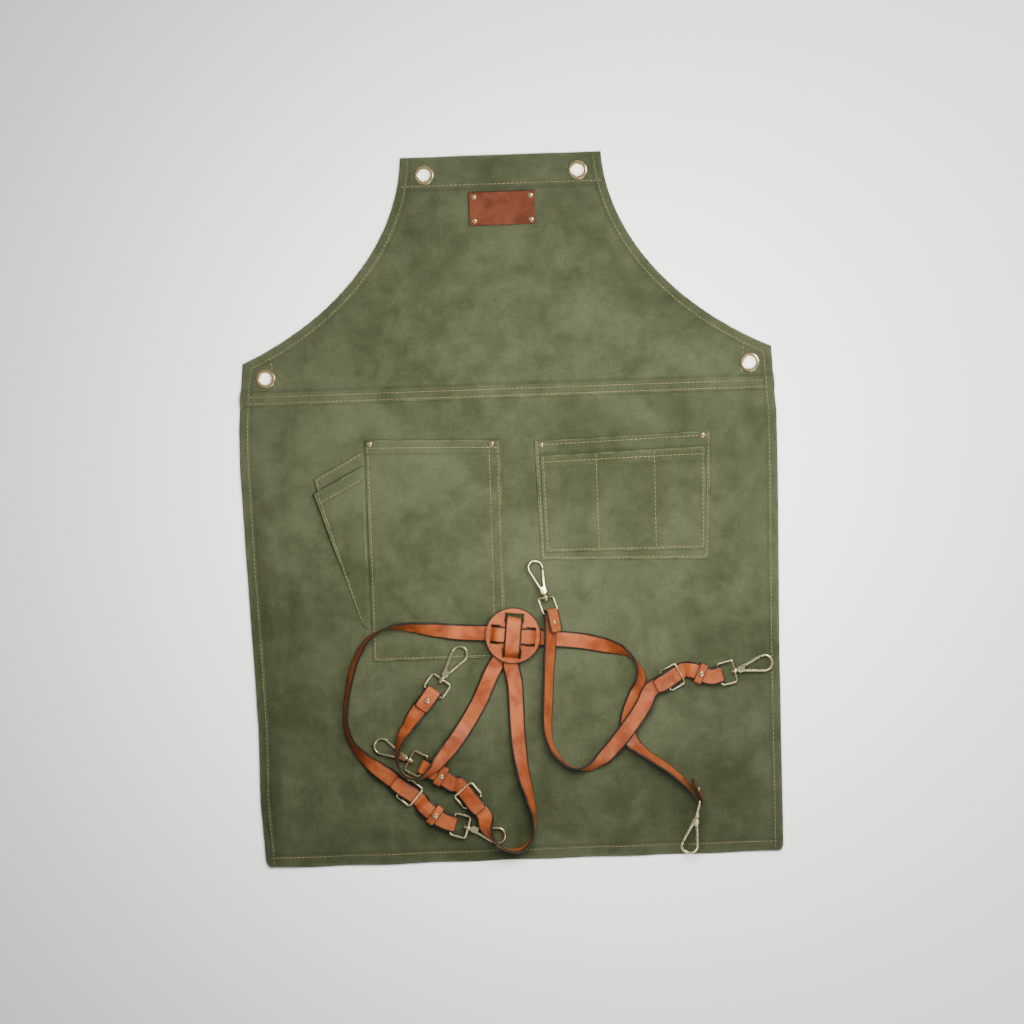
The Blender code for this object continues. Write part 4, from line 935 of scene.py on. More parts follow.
def tube(points, normal, radius, sides, closed, shrink=None):
    """A round wire through points that lie in one plane; shrink gives a share of the radius."""
    count, normal = len(points), Vector(normal)
    made, faces = [], []
    for i, p in enumerate(points):
        back = points[(i - 1) % count] if closed or i else p
        front = points[(i + 1) % count] if closed or i < count - 1 else p
        way = (Vector(front) - Vector(back)).normalized()
        out = normal.cross(way)
        r = radius * (shrink[i] if shrink else 1)
        for j in range(sides):
            turn = 2 * math.pi * (j + 0.5) / sides
            made.append(Vector(p) + out * r * math.cos(turn) + normal * r * math.sin(turn))
    rings = count if closed else count - 1
    for i in range(rings):
        a, b = i * sides, (i + 1) % count * sides
        for j in range(sides):
            k = (j + 1) % sides
            faces.append((a + j, a + k, b + k, b + j))
    if not closed:
        faces.append(tuple(range(sides))[::-1])
        faces.append(tuple((count - 1) * sides + j for j in range(sides)))
    return made, faces


def ring_line(start, end, half, corner, steps=5):
    """A rectangle with round corners, from start to end along X, half across."""
    points = []
    for cx, cy, first in (
        (end - corner, -half + corner, -90),
        (end - corner, half - corner, 0),
        (start + corner, half - corner, 90),
        (start + corner, -half + corner, 180),
    ):
        for i in range(steps + 1):
            turn = math.radians(first + 90 * i / steps)
            points.append(Vector((cx + corner * math.cos(turn), cy + corner * math.sin(turn), 0)))
    return points


def opened(shape):
    """A mesh and a bmesh of a shape, its faces turned outward."""
    points, faces = shape
    mesh = bpy.data.meshes.new("part")
    mesh.from_pydata([tuple(p) for p in points], [], faces)
    made = bmesh.new()
    made.from_mesh(mesh)
    bmesh.ops.recalc_face_normals(made, faces=made.faces)
    return mesh, made


def shape_of(mesh):
    return [v.co.copy() for v in mesh.vertices], [tuple(f.vertices) for f in mesh.polygons]


def closed(mesh, made):
    """The shape that a bmesh holds; both it and its mesh are then let go."""
    made.to_mesh(mesh)
    made.free()
    result = shape_of(mesh)
    bpy.data.meshes.remove(mesh)
    return result


def bevelled(shape, width, segments=2, angle=30):
    """A shape with its sharp edges rounded."""
    mesh, made = opened(shape)
    sharp = [e for e in made.edges if len(e.link_faces) == 2 and e.calc_face_angle(0) > math.radians(angle)]
    bmesh.ops.bevel(
        made, geom=sharp, offset=width, segments=segments, profile=0.6, affect="EDGES", clamp_overlap=True
    )
    return closed(mesh, made)


def faced(shape, width, inset):
    """A flat shape with rounded rims; its marks are 1 on the rim and walls and 0 on the two faces."""
    mesh, made = opened(bevelled(shape, width, 3))
    flat = [f for f in made.faces if abs(f.normal.z) > 0.99 and f.calc_area() > 4 * MM * MM]
    bmesh.ops.inset_region(made, faces=flat, thickness=inset, use_boundary=True, use_even_offset=True)
    made.verts.ensure_lookup_table()
    inner = {v for f in flat for v in f.verts}
    marks = [0.0 if v in inner else 1.0 for v in made.verts]
    return (*closed(mesh, made), marks)


def combined(shape, other, operation):
    """The Boolean of two shapes."""
    objects = []
    for part in (shape, other):
        mesh, fix = opened(part)
        fix.to_mesh(mesh)
        fix.free()
        made = bpy.data.objects.new("tool", mesh)
        bpy.context.scene.collection.objects.link(made)
        objects.append(made)
    step = objects[0].modifiers.new("step", "BOOLEAN")
    step.operation = operation
    step.object = objects[1]
    step.solver = "EXACT"
    bpy.context.view_layer.update()
    mesh = bpy.data.meshes.new_from_object(
        objects[0].evaluated_get(bpy.context.evaluated_depsgraph_get())
    )
    result = shape_of(mesh)
    for made in objects:
        bpy.data.objects.remove(made)
    return result


def hook_lean():
    reach = HOOK_TIP_CENTRE - (BLOCK_END - 2.5 * MM)
    slant = math.hypot(reach, HOOK_LEG_OUT)
    return math.asin(HOOK_TIP_RADIUS / slant) - math.atan2(HOOK_LEG_OUT, reach)


def hook_shapes():
    """Ring, bow and gate of a snap hook in the hook's own frame: u along, v across, w up."""
    half = STRAP_WIDTH / 2 + RING_SPARE
    sideways = Matrix.Rotation(math.radians(90), 4, "Y")
    ring = tube(ring_line(0, LOOP_LENGTH, half, 2.6 * MM), UP, BAR_RADIUS, 14, True)
    boss = turned(
        (
            (POST_RADIUS + 0.25 * MM, -BOSS_HALF),
            (BOSS_RADIUS * 0.86, -BOSS_HALF),
            (BOSS_RADIUS, -BOSS_HALF * 0.7),
            (BOSS_RADIUS, BOSS_HALF * 0.7),
            (BOSS_RADIUS * 0.86, BOSS_HALF),
            (POST_RADIUS + 0.25 * MM, BOSS_HALF),
        ),
        20,
    )
    boss = moved(boss, Matrix.Translation((LOOP_LENGTH, 0, 0)) @ sideways)
    ring = combined(ring, boss, "UNION")

    head = LOOP_LENGTH - BOSS_HALF - GAP
    post = cap(
        (
            (0, head - 2.0 * MM),
            (POST_HEAD_RADIUS * 0.55, head - 2.0 * MM),
            (POST_HEAD_RADIUS * 0.95, head - 1.3 * MM),
            (POST_HEAD_RADIUS, head - 0.5 * MM),
            (POST_HEAD_RADIUS * 0.85, head),
            (POST_RADIUS, head),
            (POST_RADIUS, BLOCK_START - 0.9 * MM),
            (POST_RADIUS * 2.2, BLOCK_START - 0.7 * MM),
            (POST_RADIUS * 2.35, BLOCK_START),
            (POST_RADIUS * 2.35, BLOCK_START + MM),
            (0, BLOCK_START + MM),
        ),
        20,
    )
    post = moved(post, sideways)
    block = prism(
        (
            (BLOCK_START, -BLOCK_HALF * 0.72),
            (BLOCK_START + 1.6 * MM, -BLOCK_HALF),
            (BLOCK_END, -BLOCK_HALF),
            (BLOCK_END, BLOCK_HALF),
            (BLOCK_START + 1.6 * MM, BLOCK_HALF),
            (BLOCK_START, BLOCK_HALF * 0.72),
        ),
        -BLOCK_HALF_HEIGHT,
        BLOCK_HALF_HEIGHT,
    )
    block = bevelled(block, 0.7 * MM, 3)
    slot = prism(
        (
            (GATE_U - GATE_EYE - GAP, -BLOCK_HALF - MM),
            (BLOCK_END + MM, -BLOCK_HALF - MM),
            (BLOCK_END + MM, GATE_V + GATE_EYE + GAP),
            (GATE_U - GATE_EYE - GAP, GATE_V + GATE_EYE + GAP),
        ),
        -GATE_HALF - 0.2 * MM,
        GATE_HALF + 0.2 * MM,
    )
    block = combined(block, slot, "DIFFERENCE")
    pin = cap(
        (
            (0, -BLOCK_HALF_HEIGHT - 0.1 * MM),
            (0.7 * MM, -BLOCK_HALF_HEIGHT - 0.1 * MM),
            (0.8 * MM, -BLOCK_HALF_HEIGHT + 0.2 * MM),
            (0.8 * MM, BLOCK_HALF_HEIGHT - 0.2 * MM),
            (0.7 * MM, BLOCK_HALF_HEIGHT + 0.1 * MM),
            (0, BLOCK_HALF_HEIGHT + 0.1 * MM),
        ),
        14,
    )
    block = combined(block, moved(pin, Matrix.Translation((GATE_U, GATE_V, 0))), "UNION")
    block = combined(block, post, "UNION")
    lean = hook_lean()
    bow, shrink = [], []
    first = Vector((BLOCK_END - 2.5 * MM, HOOK_LEG_OUT, 0))
    steps = 30
    arc = []
    for i in range(steps + 1):
        turn = math.radians(90) + lean - (math.radians(180) + 2 * lean) * i / steps
        arc.append(
            Vector((HOOK_TIP_CENTRE + HOOK_TIP_RADIUS * math.cos(turn), HOOK_TIP_RADIUS * math.sin(turn), 0))
        )
    for i in range(8):
        bow.append(first.lerp(arc[0], i / 8))
        shrink.append(1.12 - 0.12 * i / 8)
    for p in arc:
        bow.append(p)
        shrink.append(1.0)
    nose_way = (arc[-1] - arc[-2]).normalized()
    for d, s in ((0.25, 0.93), (0.4, 0.75), (0.47, 0.4)):
        bow.append(arc[-1] + nose_way * d * MM)
        shrink.append(s)
    hook = combined(block, tube(bow, UP, HOOK_WIRE, 14, False, shrink), "UNION")

    nose = arc[-1]
    eye = Vector((GATE_U, GATE_V))
    to_nose = nose.xy - eye
    reach = to_nose.length - GATE_NOSE_GAP - 0.35 * MM
    way = to_nose.normalized()
    out = Vector((way.y, -way.x))
    outline = []
    for i in range(7):
        turn = math.radians(-80 + 160 * i / 6)
        ahead = reach - 0.9 * MM + 0.9 * MM * math.cos(turn)
        outline.append(eye + way * ahead - out * 1.1 * MM * math.sin(turn))
    outline.append(eye + way * GATE_EYE * 0.9 - out * 1.15 * MM)
    for i in range(1, 12):
        turn = math.radians(40) + math.radians(280) * i / 12
        outline.append(eye + GATE_EYE * (way * math.cos(turn) - out * math.sin(turn)))
    outline.append(eye + way * GATE_EYE * 0.9 + out * 1.15 * MM)
    gate = bevelled(prism([tuple(p) for p in outline], -GATE_HALF, GATE_HALF), 0.3 * MM, 2)
    bore = prism(circle(GATE_U, GATE_V, 1.0 * MM, 16), -2 * GATE_HALF, 2 * GATE_HALF)
    gate = combined(gate, bore, "DIFFERENCE")
    return ring, hook, gate


def add_hook(name, body, shapes, paint, end, outward, bar_side, swing, roll):
    bar = end.middle + Vector(bar_side).normalized() * WRAP
    turn = Matrix.Rotation(math.radians(swing), 3, end.width)
    along = turn @ Vector(outward).normalized()
    ring, hook, gate = shapes
    ring_place = frame_matrix(bar, along, end.width)
    across = UP.cross(along).normalized()
    across = Matrix.Rotation(math.radians(roll), 3, along) @ across
    place = frame_matrix(bar, along, across)
    for shape, matrix, part, rides in (
        (ring, ring_place, "loop", "apron"),
        (hook, place, "bow", "apron"),
        (gate, place, "gate", body),
    ):
        piece = new_piece(f"{name}_{part}_look", *moved(shape, matrix), paint, 35)
        stand_for(piece, rides, f"{name}_{part}", slot="pale_brass")


def harness_lines():
    """The straps' stations, worked out once."""
    cross = route(strap_x_rows())
    upper, lower = route(strap_y_rows()), route(strap_y_lower_rows())
    down = [*upper, *disc_turn_over(upper[-1], lower[0]), *lower]
    waist = route(strap_w_rows())
    tails = {side: route(tail_rows(side)) for side in TAILS}
    return cross, down, waist, tails


def rivet_shape():
    radius = RIVET_RADIUS
    profile = [(0, 0), (radius * 0.9, 0), (radius, 0.12 * MM), (radius, RIVET_RIM)]
    for i in range(1, 6):
        turn = math.radians(90 * i / 6)
        profile.append((radius * math.cos(turn), RIVET_RIM + (RIVET_HEIGHT - RIVET_RIM) * math.sin(turn)))
    profile.append((0, RIVET_HEIGHT))
    return cap(profile, 28)


def add_rivet(name, place, along, normal, paint):
    matrix = frame_matrix(place, along, Vector(normal).cross(Vector(along)))
    piece = new_piece(f"{name}_look", *moved(rivet_shape(), matrix), paint, 50)
    stand_for(piece, "apron", name, slot="brass")


def add_harness(paints):
    leather, brass, steel = paints["strap"], paints["brass"], paints["steel"]
    cross, down, waist, tails = harness_lines()
    shapes = hook_shapes()
    for name, stations, rows, buckle, hook, swing, roll in (
        ("cross", cross, strap_x_rows(), "buckle_left", "lower", -42, 0),
        ("down", down, strap_y_rows(), "buckle_middle", "upper", 0, 180),
        ("waist", waist, strap_w_rows(), "buckle_right", "top", 10, 25),
    ):
        end, outward, over = hook_end(coarse_start(rows))
        fold = wrap(end, outward, over, END_FOLD)
        heel = wrap(stations[-1], heading_of(BUCKLES[buckle][1]).to_3d(), -UP, HEEL_FOLD)
        line = end_steps([*reversed(fold), *stations, *heel])
        piece = ribbon(f"strap_{name}_look", line, leather, start_round=4 * MM)
        stand_for(piece, "apron", f"strap_{name}", slot="leather")
        add_hook(f"hook_{hook}", f"gate_{hook}", shapes, steel, end, outward, over, swing, roll)
        arc_end = Vector(end.middle) + over * 2 * WRAP
        place = arc_end - outward * END_FOLD / 2 + over * (STRAP / 2 + 0.05 * MM)
        add_rivet(f"end_rivet_{hook}", place, outward, over, brass)
    for side, stations in tails.items():
        _, _, swing, roll = TAILS[side]
        end, outward, _ = hook_end(coarse_start(tail_rows(side)))
        fold = wrap(end, outward, -UP, 0.01 * MM)[:-1] + follow_below(stations, TAIL_FOLD)
        line = end_steps([*reversed(fold), *stations])
        piece = ribbon(f"tail_{side}_look", line, leather, end_round=7 * MM)
        stand_for(piece, "apron", f"tail_{side}", slot="leather")
        add_hook(f"hook_{side}", f"gate_{side}", shapes, steel, end, outward, -UP, swing, roll)
        add_keeper(side, stations, leather, brass)
    for name in BUCKLES:
        (x, y), angle = BUCKLES[name]
        half = STRAP_WIDTH / 2 + RING_SPARE
        line = ring_line(-BUCKLE_LENGTH / 2, BUCKLE_LENGTH / 2, half, 2.6 * MM)
        matrix = Matrix.Translation((x, y, BAR_HEIGHT)) @ Matrix.Rotation(math.radians(angle), 4, "Z")
        piece = new_piece(f"{name}_look", *moved(tube(line, UP, BAR_RADIUS, 14, True), matrix), steel, 60)
        stand_for(piece, "apron", name, slot="pale_brass")


def add_keeper(side, stations, leather, brass):
    """A band of thin leather round the tail's two layers, its corners soft."""
    middle, way = along_route(stations, KEEPER_FROM_BAR)
    middle = middle - UP * WRAP
    matrix = frame_matrix(middle, way, UP.cross(way))
    half = STRAP_WIDTH / 2 + 2 * GAP
    high = WRAP + STRAP / 2 + GAP
    points, faces, edges = [], [], []
    loop_in = ring_line(-high, high, half, 0.8 * MM, 4)
    loop_out = ring_line(-high - KEEPER, high + KEEPER, half + KEEPER, 1.8 * MM, 4)
    count = len(loop_in)
    rings = []
    for u, out, edge in (
        (-KEEPER_WIDTH / 2 + 0.25 * MM, 0.0, 1.0),
        (-KEEPER_WIDTH / 2, 0.3, 1.0),
        (-KEEPER_WIDTH / 2, 0.7, 1.0),
        (-KEEPER_WIDTH / 2 + 0.3 * MM, 0.97, 0.9),
        (-KEEPER_WIDTH / 2 + 1.1 * MM, 1.0, 0.0),
        (KEEPER_WIDTH / 2 - 1.1 * MM, 1.0, 0.0),
        (KEEPER_WIDTH / 2 - 0.3 * MM, 0.97, 0.9),
        (KEEPER_WIDTH / 2, 0.7, 1.0),
        (KEEPER_WIDTH / 2, 0.3, 1.0),
        (KEEPER_WIDTH / 2 - 0.25 * MM, 0.0, 1.0),
    ):
        ring = []
        for a, b in zip(loop_in, loop_out):
            p = a.lerp(b, out)
            ring.append(len(points))
            points.append((u, p.y, p.x))
            edges.append(edge)
        rings.append(ring)
    for i in range(len(rings)):
        here, there = rings[i], rings[(i + 1) % len(rings)]
        for j in range(count):
            k = (j + 1) % count
            faces.append((here[j], here[k], there[k], there[j]))
    piece = new_piece(
        f"keeper_{side}_look", *moved((points, faces), matrix), leather, 50, {"edge": edges}
    )
    stand_for(piece, "apron", f"keeper_{side}", slot="leather")
    top = middle + UP * (WRAP + STRAP / 2 + KEEPER + GAP + 0.05 * MM)
    add_rivet(f"keeper_rivet_{side}", top, way, UP, brass)


def add_disc(paint):
    """The disc with its four slots and round dark edges."""
    disc = prism(circle(0, 0, DISC_RADIUS, 96), 0, DISC)
    half = STRAP_WIDTH / 2 + SLOT_SPARE
    for quarter in range(4):
        turn = Matrix.Rotation(math.radians(90) * quarter, 4, "Z")
        outline = [
            (SLOT_NEAR, -half),
            (SLOT_FAR, -half),
            (SLOT_FAR, half),
            (SLOT_NEAR, half),
        ]
        disc = combined(disc, moved(prism(outline, -MM, DISC + MM), turn), "DIFFERENCE")
    points, faces, marks = faced(disc, 0.5 * MM, 1.5 * MM)
    rim = DISC_RADIUS - 1.2 * MM
    edges = [m if math.hypot(p[0], p[1]) > rim else 0.4 * m for p, m in zip(points, marks)]
    matrix = (
        Matrix.Translation((DISC_PLACE.x, DISC_PLACE.y, DISC_LOW)) @ Matrix.Rotation(DISC_TURN, 4, "Z")
    )
    piece = new_piece("disc_look", *moved((points, faces), matrix), paint, 40, {"edge": edges})
    stand_for(piece, "apron", "disc", slot="leather")


def add_label(leather, brass):
    middle = TOP - LABEL_BELOW_TOP
    low = CLOTH + GAP
    corner = 2.0 * MM
    half, tall = LABEL_WIDTH / 2, LABEL_HEIGHT / 2
    outline = [(p.x, p.y + middle) for p in ring_line(-half, half, tall, corner, 6)]
    points, faces, edges = faced(prism(outline, low, low + LABEL_THICKNESS), 0.45 * MM, 1.2 * MM)
    edges = [0.42 * e for e in edges]
    piece = new_piece("label_look", points, faces, leather, 40, {"edge": edges})
    stand_for(piece, "apron", "label", slot="leather")
    inset = 5.1 * MM
    number = 0
    for sx in (-1, 1):
        for sy in (-1, 1):
            number += 1
            place = (sx * (half - inset), middle + sy * (tall - inset), low + LABEL_THICKNESS + 0.05 * MM)
            add_rivet(f"label_rivet_{number}", place, (1, 0, 0), (0, 0, 1), brass)


def add_pocket_rivets(brass):
    high = ON_SKIRT + CLOTH + HEM_EXTRA + 0.1 * MM
    for number, (corner, across, down) in enumerate(POCKET_RIVETS, start=1):
        lift = 0.8 * MM if number < 3 else 0
        place = (corner[0] + across, corner[1] - down, high + lift)
        add_rivet(f"pocket_rivet_{number}", place, (1, 0, 0), (0, 0, 1), brass)


def add_eyelets(brass):
    in_r, out_r, wall = EYELET_HOLE_RADIUS, EYELET_FLANGE_RADIUS, EYELET_WALL
    base, seat = 0.1 * MM, CLOTH + HEM_EXTRA + GAP
    for name, (x, y) in EYELETS.items():
        profile = [
            (in_r, base + 0.2 * MM),
            (in_r + 0.3 * MM, base),
            (out_r - 0.2 * MM, base),
            (out_r, base + 0.3 * MM),
            (out_r - 0.2 * MM, base + EYELET_FLANGE),
            (in_r + wall, base + EYELET_FLANGE),
            (in_r + wall, seat),
            (out_r - 0.3 * MM, seat - 0.1 * MM),
            (out_r, seat + 0.1 * MM),
            (out_r - 0.25 * MM, seat + 0.45 * MM),
        ]
        for i in range(1, 7):
            turn = math.radians(180 * i / 7)
            reach = (out_r - in_r - 0.4 * MM) / 2
            middle = (out_r + in_r - 0.2 * MM) / 2
            profile.append((middle + reach * math.cos(turn), seat + 0.45 * MM + 0.75 * MM * math.sin(turn)))
        profile.append((in_r, seat + 0.2 * MM))
        profile.append((in_r - 0.02 * MM, seat - 0.6 * MM))
        piece = new_piece(
            f"{name}_look", *moved(turned(profile, 56), Matrix.Translation((x, y, 0))), brass, 40
        )
        stand_for(piece, "apron", name, slot="brass")


# A stitch's rings: along as a share of its length, lift and thickness as shares of the thread's radius
STITCH_SIDES = 6
STITCH_RINGS = (
    (-0.5, -0.5, 0.6),
    (-0.34, 0.25, 0.95),
    (0.0, 0.6, 1.0),
    (0.34, 0.25, 0.95),
    (0.5, -0.5, 0.6),
)


class Stitches:
    """Collects stitches: short arched capsules of thread along lines on a surface."""

    def __init__(self):
        self.points, self.faces = [], []
        sides, rings = STITCH_SIDES, STITCH_RINGS
        self.template, self.template_faces = [], []
        for u, lift, fat in rings:
            for j in range(sides):
                turn = 2 * math.pi * j / sides
                self.template.append((u, fat * math.cos(turn), lift + fat * math.sin(turn) * 0.9))
        for i in range(len(rings) - 1):
            a, b = i * sides, (i + 1) * sides
            for j in range(sides):
                k = (j + 1) % sides
                self.template_faces.append((a + j, a + k, b + k, b + j))
        self.template_faces.append(tuple(range(sides))[::-1])
        self.template_faces.append(tuple((len(rings) - 1) * sides + j for j in range(sides)))
        self.template = np.array(self.template)

    def line(self, places, pitch=STITCH_PITCH, length=STITCH):
        """Stitches along places (x, y, z), evenly spaced."""
        places = np.array(places, float)
        steps = np.hypot(*(places[1:, :2] - places[:-1, :2]).T)
        run = np.concatenate([[0], np.cumsum(steps)])
        count = max(1, int(run[-1] / pitch))
        pitch = run[-1] / count
        for i in range(count):
            ends = [(i + 0.5) * pitch - length / 2, (i + 0.5) * pitch + length / 2]
            a, b = ([np.interp(e, run, places[:, k]) for k in range(3)] for e in ends)
            self.one(np.array(a), np.array(b))

    def one(self, a, b, radius=THREAD_RADIUS):
        way = b - a
        size = np.linalg.norm(way)
        way = way / size
        side = np.array([-way[1], way[0], 0.0])
        side = side / np.linalg.norm(side)
        up = np.cross(way, side)
        middle = (a + b) / 2
        shape = (
            middle
            + np.outer(self.template[:, 0] * size, way)
            + np.outer(self.template[:, 1] * radius, side)
            + np.outer(self.template[:, 2] * radius, up)
        )
        start = len(self.points)
        self.points.extend(shape.tolist())
        self.faces.extend([tuple(start + i for i in f) for f in self.template_faces])

    def piece(self, name, paint):
        made = new_piece(name, self.points, self.faces, paint, None)
        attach(made, "apron")


def edge_roll(depth, thick, reach=0.9 * MM):
    """How far the upper and lower faces draw together near a folded edge."""
    share = np.clip(1 - depth / reach, 0, 1)
    return thick / 2 * (1 - np.sqrt(1 - share * share * 0.96))


def dimple(distance, sharp=1.1 * MM, deep=0.28 * MM):
    """The groove that a row of stitches pulls into the cloth."""
    return deep * np.exp(-((distance / sharp) ** 2))


def pucker(distance, run, seed=0.0):
    """Small gathers along a row of stitches."""
    wave = np.sin(2 * math.pi * run / 0.0155 + 1.9 * np.sin(run * 61 + seed) + seed)
    return 0.16 * MM * wave * np.exp(-((distance / (5 * MM)) ** 2))


def armhole(share):
    x0, y0 = BIB_TOP_WIDTH / 2, TOP
    x3, y3 = SHOULDER_WIDTH / 2, SEAM + SHOULDER_ABOVE_SEAM
    x1 = x0 + ARMHOLE_LEAVES_BIB[0] * (x3 - x0)
    y1 = y0 + ARMHOLE_LEAVES_BIB[1] * (y3 - y0)
    x2 = x0 + ARMHOLE_MEETS_SHOULDER[0] * (x3 - x0)
    y2 = y0 + ARMHOLE_MEETS_SHOULDER[1] * (y3 - y0)
    back = 1 - share
    w = (back**3, 3 * back * back * share, 3 * back * share * share, share**3)
    x = w[0] * x0 + w[1] * x1 + w[2] * x2 + w[3] * x3
    y = w[0] * y0 + w[1] * y1 + w[2] * y2 + w[3] * y3
    return Vector((x, y))


def side_half(table, share):
    shares, halves = zip(*table)
    return float(np.interp(share, shares, halves))


EDGE_STEPS = [0.0, 0.15, 0.4, 0.8, 1.6, 3.0, 5.0, 6.6, 7.6, 8.6, 9.6, 10.6, 11.8]


def bib_outline():
    """The right half of the bib's outline from the lap up to the top corner, with inward ways."""
    shoulder = SEAM + SHOULDER_ABOVE_SEAM
    hip = SHOULDER_WIDTH / 2 + 1.5 * MM
    points = []
    for y in np.linspace(SEAM - SEAM_LAP / 2, shoulder - 1.2 * MM, 20):
        points.append(Vector((hip - (y - SEAM) * 0.035, y)))
    corner = len(points)
    steps = 84
    for i in range(steps, -1, -1):
        points.append(armhole(i / steps))
    ways = []
    for i, p in enumerate(points):
        if i < corner:
            # The rows lean down toward the corner's mitre
            ways.append(Vector((-1, -max(0, (p.y - points[0].y) / (points[corner].y - points[0].y)))))
            continue
        if i == len(points) - 1:
            ways.append(Vector((-1, 0)))
            continue
        before = points[i - 1] if i > corner else p
        mean = (points[i + 1] - before).normalized()
        inward = Vector((-mean.y, mean.x))
        lean = max(0, 1 - (p - points[corner]).length / 0.045)
        ways.append(inward + mean * lean * 0.85)
    return points, ways


def quiet(x, y, lines, pockets=True):
    """1 where the cloth may ripple, 0 under straps, pockets and fittings."""
    calm = np.ones_like(x)
    for line in lines:
        calm *= smooth_step((distance_to(x, y, line) - 14 * MM) / (40 * MM))
    if pockets:
        for corners in (LEFT_POCKET, SIDE_POCKET_BACK, SIDE_POCKET, RIGHT_POCKET_BACK):
            calm *= 1 - smooth_step(inside_box(x, y, corners, 22 * MM) / (20 * MM))
    for ex, ey in EYELETS.values():
        calm *= smooth_step((np.hypot(x - ex, y - ey) - 16 * MM) / (25 * MM))
    return calm


def strap_lines(cross, down, waist, tails):
    """The straps and hooks seen from above, as sparse lines of places."""
    lines = []
    for stations in (cross, down, waist, *tails.values()):
        line = [(s.middle.x, s.middle.y) for s in stations[::5]]
        line.append((stations[-1].middle.x, stations[-1].middle.y))
        lines.append(line)
    for a, b in (
        ((-0.0925, -0.1955), (-0.058, -0.149)),
        ((-0.105, -0.275), (-0.156, -0.249)),
        ((-0.076, -0.3365), (-0.018, -0.351)),
        ((0.0345, -0.1142), (0.018, -0.060)),
        ((0.215, -0.187), (0.268, -0.168)),
        ((0.187, -0.32), (0.173, -0.378)),
    ):
        lines.append([a, b])
    return lines


def sheet_points(x, y, high, low):
    """All the upper points of a sheet, then all the lower ones."""
    upper, lower = (np.stack([x, y, z], -1).reshape(-1, 3) for z in (high, low))
    return np.concatenate([upper, lower]).tolist()


def both_faces(**marks):
    """Marks between 0 and 1 for a sheet's upper and lower points."""
    return {k: np.clip(np.concatenate([v.ravel(), v.ravel()]), 0, 1) for k, v in marks.items()}


class Cloth:
    """The apron's main cloth as functions of place, for the meshes and for what lies on them."""

    def __init__(self, lines):
        self.lines = lines

    def ripple(self, x, y):
        calm = quiet(x, y, self.lines)
        seam = smooth_step((np.abs(y - SEAM) - 8 * MM) / (25 * MM))
        label = smooth_step((np.maximum(np.abs(x) - 0.036, np.abs(y - 0.321) - 0.018)) / 0.02)
        swell = 0.9 * waves(x, y, 0.15, 3) + 0.5 * waves(x, y, 0.07, 8)
        return (0.55 + 0.75 * swell) * MM * calm * seam * label * 1.35

    def lift(self, x, y):
        return fold_lift(x, y) + np.clip(self.ripple(x, y), 0, None)


def widen(x, y):
    """The share by which the bib's lower left side stands out, to meet the skirt's."""
    return 1 + np.where(x < 0, 0.0112, 0.0015) * np.clip((SEAM + 0.045 - y) / 0.045, 0, 1)


